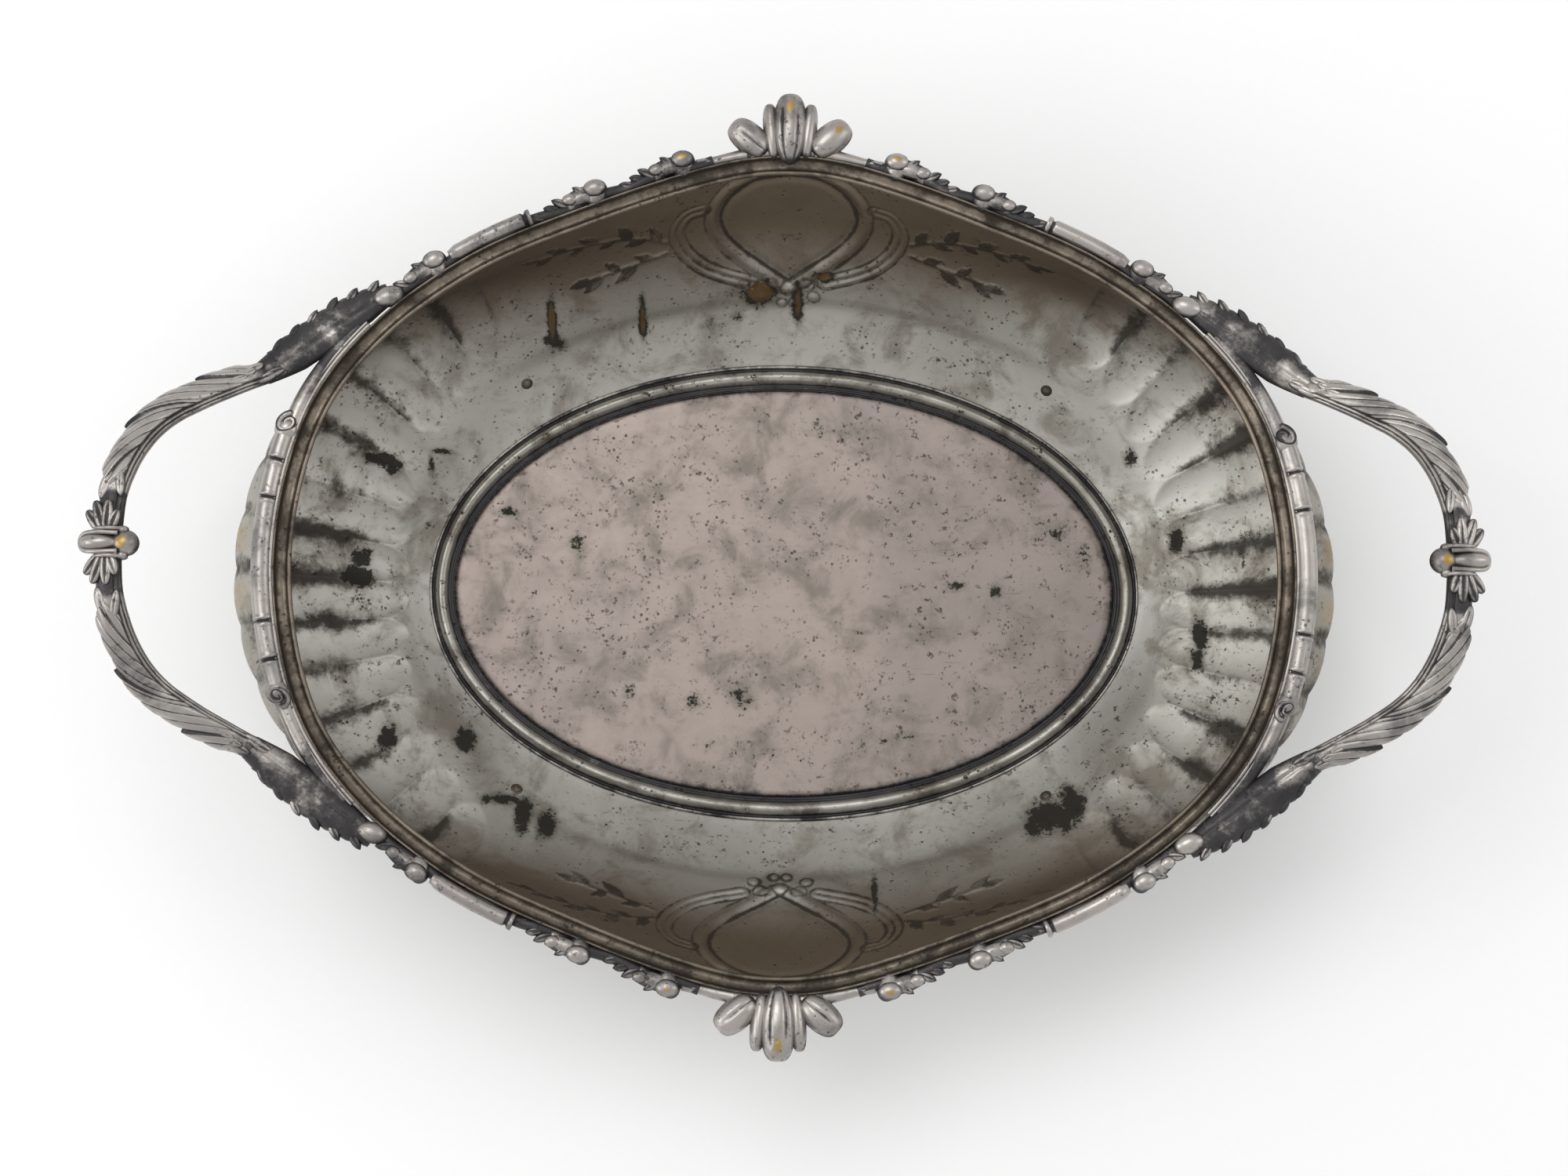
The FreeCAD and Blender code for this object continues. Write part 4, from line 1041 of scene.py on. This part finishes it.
class Shader:
    """A principled material and short ways to add nodes to it."""

    def __init__(self, name):
        self.material = bpy.data.materials.new(name)
        self.material.use_nodes = True
        self.tree = self.material.node_tree
        self.surface = self.tree.nodes["Principled BSDF"]
        self.coords = self.add("ShaderNodeTexCoord", "Object", {})

    def link(self, source, target):
        """Gives an input a constant or another node's output."""
        if isinstance(source, Signal):
            self.tree.links.new(source.socket, target)
        else:
            target.default_value = source

    def add(self, kind, output, inputs, **settings):
        """Adds a node with these inputs and settings, and gives one of its outputs."""
        node = self.tree.nodes.new(kind)
        for key, value in settings.items():
            setattr(node, key, value)
        for key, source in inputs.items():
            self.link(source, node.inputs[key])
        return Signal(self, node.outputs[output])

    def paint(self, label):
        """A paint value of the mesh."""
        return self.add("ShaderNodeAttribute", "Fac", {}, attribute_name=label)

    def placed(self, stretch, move, turn):
        """The object's own coordinates, stretched, moved and turned."""
        inputs = {"Vector": self.coords, "Scale": stretch, "Location": move, "Rotation": (0, 0, turn)}
        return self.add("ShaderNodeMapping", "Vector", inputs)

    def noise(self, scale, detail, rough, stretch=(1, 1, 1), move=(0, 0, 0), turn=0.0, warp=0.0):
        """Clouds from 0 to 1, mostly near 0.5."""
        inputs = {"Scale": scale, "Detail": detail, "Roughness": rough, "Distortion": warp}
        inputs["Vector"] = self.placed(stretch, move, turn)
        return self.add("ShaderNodeTexNoise", "Fac", inputs)

    def cells(self, scale, move):
        """The distance from the nearest of many scattered points."""
        inputs = {"Vector": self.placed((1, 1, 1), move, 0.0), "Scale": scale}
        return self.add("ShaderNodeTexVoronoi", "Distance", inputs)

    def span(self, value, low, high, to_low=0.0, to_high=1.0):
        """A soft step between two levels of a value."""
        inputs = {"Value": value, "From Min": low, "From Max": high, "To Min": to_low, "To Max": to_high}
        return self.add("ShaderNodeMapRange", "Result", inputs, interpolation_type="SMOOTHSTEP")

    def math(self, operation, a, b):
        """A calculation with two values."""
        return self.add("ShaderNodeMath", "Value", {0: a, 1: b}, operation=operation)

    def larger(self, a, b):
        """The larger of two values."""
        return self.math("MAXIMUM", a, b)

    def mix(self, a, b, share):
        """Colour a with a share of colour b over it."""
        a, b = ((*c, 1.0) if isinstance(c, tuple) else c for c in (a, b))
        return self.add("ShaderNodeMix", 2, {0: share, 6: a, 7: b}, data_type="RGBA")

    def finish(self, colour, rough, metal, height):
        """Connects the looks to the surface, with the height as bump, and gives the material."""
        bumps = {"Distance": BUMP_DEPTH, "Strength": 0.8, "Height": height}
        normal = self.add("ShaderNodeBump", "Normal", bumps)
        looks = (("Base Color", colour), ("Roughness", rough), ("Metallic", metal), ("Normal", normal))
        for key, source in looks:
            self.link(source, self.surface.inputs[key])
        return self.material


BUMP_DEPTH = 0.00025
# Dark colours of dirt and tarnish, also used for painted shade.
BLACK_TARNISH_AND_SHADE = (0.020, 0.019, 0.022)
BROWN_DIRT_AND_SHADE = (0.030, 0.023, 0.016)
PIT, SCRATCH, HALO = (0.045, 0.038, 0.030), (0.10, 0.085, 0.07), (0.15, 0.143, 0.112)
BLACK_CRUST, BROWN_CRUST, BRASS = (0.018, 0.016, 0.010), (0.085, 0.050, 0.018), (0.43, 0.28, 0.075)
# The brown of the bowl's long walls: from this height, to this height, colour.
WALL_BROWN = (0.034, 0.070, (0.180, 0.143, 0.105))


def browned(s, large, middle, low, high):
    """Where the walls turn brown: upwards, with ragged edges, and less at the ends than at the crests."""
    y, z = (s.add("ShaderNodeSeparateXYZ", axis, {"Vector": s.coords}) for axis in "YZ")
    crest = s.span(s.math("ABSOLUTE", y, 0.0) + (large - 0.5) * 0.03, 0.085, 0.115)
    return s.span(z + (middle - 0.5) * 0.022, low, high) * (crest * 0.75 + 0.25)


def pitted(s, large, fine, move):
    """Pits and specks gathered in patches, and crumbs of corrosion."""
    patch = s.span(s.noise(75, 4, 0.6, move=(move[0] + 3, 1, 2)), 0.44, 0.66)
    holes = s.span(s.cells(330, move), 0.24, 0.12) * patch
    crumbs = s.span(s.noise(230, 6, 0.8, move=move), 0.600, 0.650) * s.span(large, 0.40, 0.55)
    return s.larger(s.larger(holes, crumbs), s.span(fine, 0.575, 0.68) * patch)


def tarnished_silver(name, tones, move, pits=1.0, clouds=0.5, sheen=0.34, wall=None, dirt_and_shade=BLACK_TARNISH_AND_SHADE):
    """Old silver plate: cloudy tarnish, pits, scratches, dirt and painted shade in recesses, brass wear
    and crusted stains.
    """
    clean, cloudy, shade = tones
    s = Shader(name)
    large = s.noise(11, 5, 0.6, move=move, warp=0.6)
    middle = s.noise(48, 6, 0.65, move=move, warp=0.4)
    fine = s.noise(420, 5, 0.7, move=move)
    colour = s.mix(clean, cloudy, s.span(large, 0.5 - clouds * 0.25, 0.5 + clouds * 0.25))
    colour = s.mix(colour, shade, s.span(middle, 0.47, 0.66) * 0.85)
    if wall:
        low, high, brown = wall
        colour = s.mix(colour, brown, browned(s, large, middle, low, high))
    pit = pitted(s, large, fine, move) * (0.85 * pits)
    colour = s.mix(colour, PIT, pit)
    scratch = s.noise(60, 2, 0.5, stretch=(1, 26, 6), move=move, turn=0.5)
    scratch = s.span(scratch, 0.70, 0.76) * s.span(large, 0.4, 0.6)
    colour = s.mix(colour, SCRATCH, scratch * 0.6)
    grain = s.noise(170, 6, 0.75, move=move)
    # Dirt and painted shade from the first paint layer, broken up by noise, pull the colour towards the
    # dark colour.
    dirt_and_shade_mask = s.span(s.paint("grime") + (middle * 1.4 + grain * 1.2 - 1.29), 0.26, 0.84)
    colour = s.mix(colour, dirt_and_shade, dirt_and_shade_mask * 0.93)
    gold = s.span(s.paint("gold") + (fine - 0.5) * 0.5, 0.35, 0.6)
    ragged = (s.noise(190, 7, 0.8, move=move) - 0.5) * 2.3
    mark = s.span(s.paint("mark") + ragged, 0.46, 0.60)
    halo = s.span(s.paint("mark") + ragged * 0.45, 0.10, 0.55)
    colour = s.mix(colour, HALO, halo * 0.7)
    colour = s.mix(colour, BRASS, gold * 0.9)
    colour = s.mix(colour, s.mix(BLACK_CRUST, BROWN_CRUST, gold), mark)
    rough = s.span(middle, 0.3, 0.75, sheen, sheen + 0.16) + dirt_and_shade_mask * 0.10
    rough = rough + s.larger(mark, pit) * 0.22
    metal = 0.88 - s.larger(dirt_and_shade_mask * 0.5, mark) * 0.55
    height = fine * 0.25 - (pit * 0.8 + mark)
    return s.finish(colour, rough, metal, height)


def make_materials():
    """The materials by use, each with its clean, cloudy and shaded tones and its pattern's place."""
    sheet = ((0.47, 0.46, 0.42), (0.36, 0.345, 0.31), (0.24, 0.215, 0.18))
    plate = ((0.345, 0.290, 0.262), (0.285, 0.245, 0.222), (0.225, 0.200, 0.172))
    moulding = ((0.235, 0.195, 0.155), (0.155, 0.130, 0.100), (0.085, 0.070, 0.056))
    ring = ((0.46, 0.45, 0.41), (0.33, 0.32, 0.28), (0.12, 0.10, 0.08))
    cast = ((0.45, 0.42, 0.39), (0.33, 0.305, 0.285), (0.18, 0.17, 0.165))
    feet = ((0.40, 0.38, 0.35), (0.30, 0.28, 0.25), (0.16, 0.15, 0.14))
    return {
        "sheet": tarnished_silver(
            "tarnished_sheet", sheet, (1, 2, 3), wall=WALL_BROWN, dirt_and_shade=BROWN_DIRT_AND_SHADE, sheen=0.42
        ),
        "plate": tarnished_silver("worn_plate", plate, (5, 1, 7), pits=0.8, clouds=0.7, sheen=0.45),
        "moulding": tarnished_silver("dark_moulding", moulding, (2, 8, 1), dirt_and_shade=BROWN_DIRT_AND_SHADE),
        "ring": tarnished_silver("ring_silver", ring, (4, 6, 1), clouds=0.3, pits=1.3),
        "cast": tarnished_silver("cast_silver", cast, (9, 4, 2), pits=0.8, sheen=0.30),
        "feet": tarnished_silver("cast_feet", feet, (3, 3, 8), pits=0.7),
    }


# ---- studio

FLOOR_HALF, SKY_STRENGTH = 6.0, 0.75
# The panels of light: name, place, aim, width and height, power.
LIGHTS = (
    ("overhead_box", (-0.5, 0.5, 1.7), (0, 0, 0), (1.2, 0.8), 9.0),
    ("left_box", (-1.5, -0.3, 0.9), (0, 0, 0.05), (0.9, 0.9), 6.0),
    ("right_box", (1.4, 0.2, 1.0), (0, 0, 0.05), (0.6, 1.0), 3.0),
)
CAMERA_LENS, CAMERA_ROLL = 63.2, math.radians(0.77)
CAMERA_PLACE, CAMERA_AIM = Vector((0.0, -0.133, 1.1)), Vector((0.0, 0.004, 0.0))


def make_floor():
    """The plain pale floor."""
    data = bpy.data.meshes.new("studio_floor")
    corners = [(x * FLOOR_HALF, y * FLOOR_HALF, 0) for x, y in ((-1, -1), (1, -1), (1, 1), (-1, 1))]
    data.from_pydata(corners, [], [(0, 1, 2, 3)])
    floor = bpy.data.objects.new("studio_floor", data)
    bpy.context.scene.collection.objects.link(floor)
    paper = Shader("studio_paper")
    colour = paper.mix((0.93, 0.93, 0.93), (0.95, 0.95, 0.95), paper.noise(300, 3, 0.6))
    paper.link(colour, paper.surface.inputs["Base Color"])
    paper.surface.inputs["Roughness"].default_value = 0.9
    data.materials.append(paper.material)
    floor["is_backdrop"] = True


def make_light(name, place, aim, size, power):
    """A soft white panel of light, turned to its aim."""
    data = bpy.data.lights.new(name, "AREA")
    data.shape = "RECTANGLE"
    data.size, data.size_y = size
    data.energy = power
    lamp = bpy.data.objects.new(name, data)
    lamp.location = place
    lamp.rotation_euler = (Vector(aim) - Vector(place)).to_track_quat("-Z", "Y").to_euler()
    bpy.context.scene.collection.objects.link(lamp)


def make_studio():
    """An even white sky and three panels of light."""
    world = bpy.data.worlds.new("studio")
    world.use_nodes = True
    sky = world.node_tree.nodes["Background"]
    sky.inputs["Color"].default_value = (1.0, 1.0, 1.0, 1)
    sky.inputs["Strength"].default_value = SKY_STRENGTH
    bpy.context.scene.world = world
    bpy.context.scene.view_settings.view_transform = "Standard"
    for panel in LIGHTS:
        make_light(*panel)


def make_camera():
    """The camera above the tray, a little to the front and a little rolled, as in the photograph."""
    data = bpy.data.cameras.new("view")
    data.lens = CAMERA_LENS
    data.sensor_width = 36.0
    data.clip_start = 0.01
    camera = bpy.data.objects.new("view", data)
    camera.location = CAMERA_PLACE
    turn = (CAMERA_AIM - CAMERA_PLACE).to_track_quat("-Z", "Y")
    camera.rotation_euler = (turn @ Quaternion((0, 0, 1), CAMERA_ROLL)).to_euler()
    bpy.context.scene.collection.objects.link(camera)
    bpy.context.scene.camera = camera


# ---- all pieces

# The tray's quarters: name, signs of x and y, and the brass that shows on the border's three scrolls.
QUARTERS = (
    ("back_left", (-1, 1), (0.8, 0.3, 0.0)),
    ("back_right", (1, 1), (0.8, 0.2, 0.0)),
    ("front_left", (-1, -1), (0.6, 0.4, 0.0)),
    ("front_right", (1, -1), (0.7, 0.3, 0.0)),
)


def make_all():
    """Every piece of the tray."""
    looks = make_materials()
    cast = looks["cast"]
    make_bowl(looks["sheet"])
    make_floor_plate(looks["plate"])
    make_floor_ring(looks["ring"])
    make_rim_band(looks["moulding"])
    for side, sign in (("left", -1), ("right", 1)):
        make_end_roll(side, sign, cast)
        make_collar(side, sign, cast)
    make_crest("back", 1, 1, cast)
    make_crest("front", -1, 0, cast)
    for name, signs, golds in QUARTERS:
        make_flank_border(name, signs, golds, cast)
        make_arm(name, signs, cast)
        make_bracket(name, signs, cast)
        make_foot(name, signs, looks["feet"])
    make_studs(looks["moulding"])


make_all()
make_floor()
make_studio()
make_camera()


def visual_box():
    """The lowest and highest corners of every piece of the object, in metres."""
    corners = []
    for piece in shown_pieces():
        corners += [piece.matrix_world @ Vector(c) for c in piece.bound_box]
    low = [min(c[k] for c in corners) for k in range(3)]
    high = [max(c[k] for c in corners) for k in range(3)]
    return [low, high]


{"cad_box": [[float(v) for v in LOW], [float(v) for v in HIGH]], "visual_box": visual_box()}
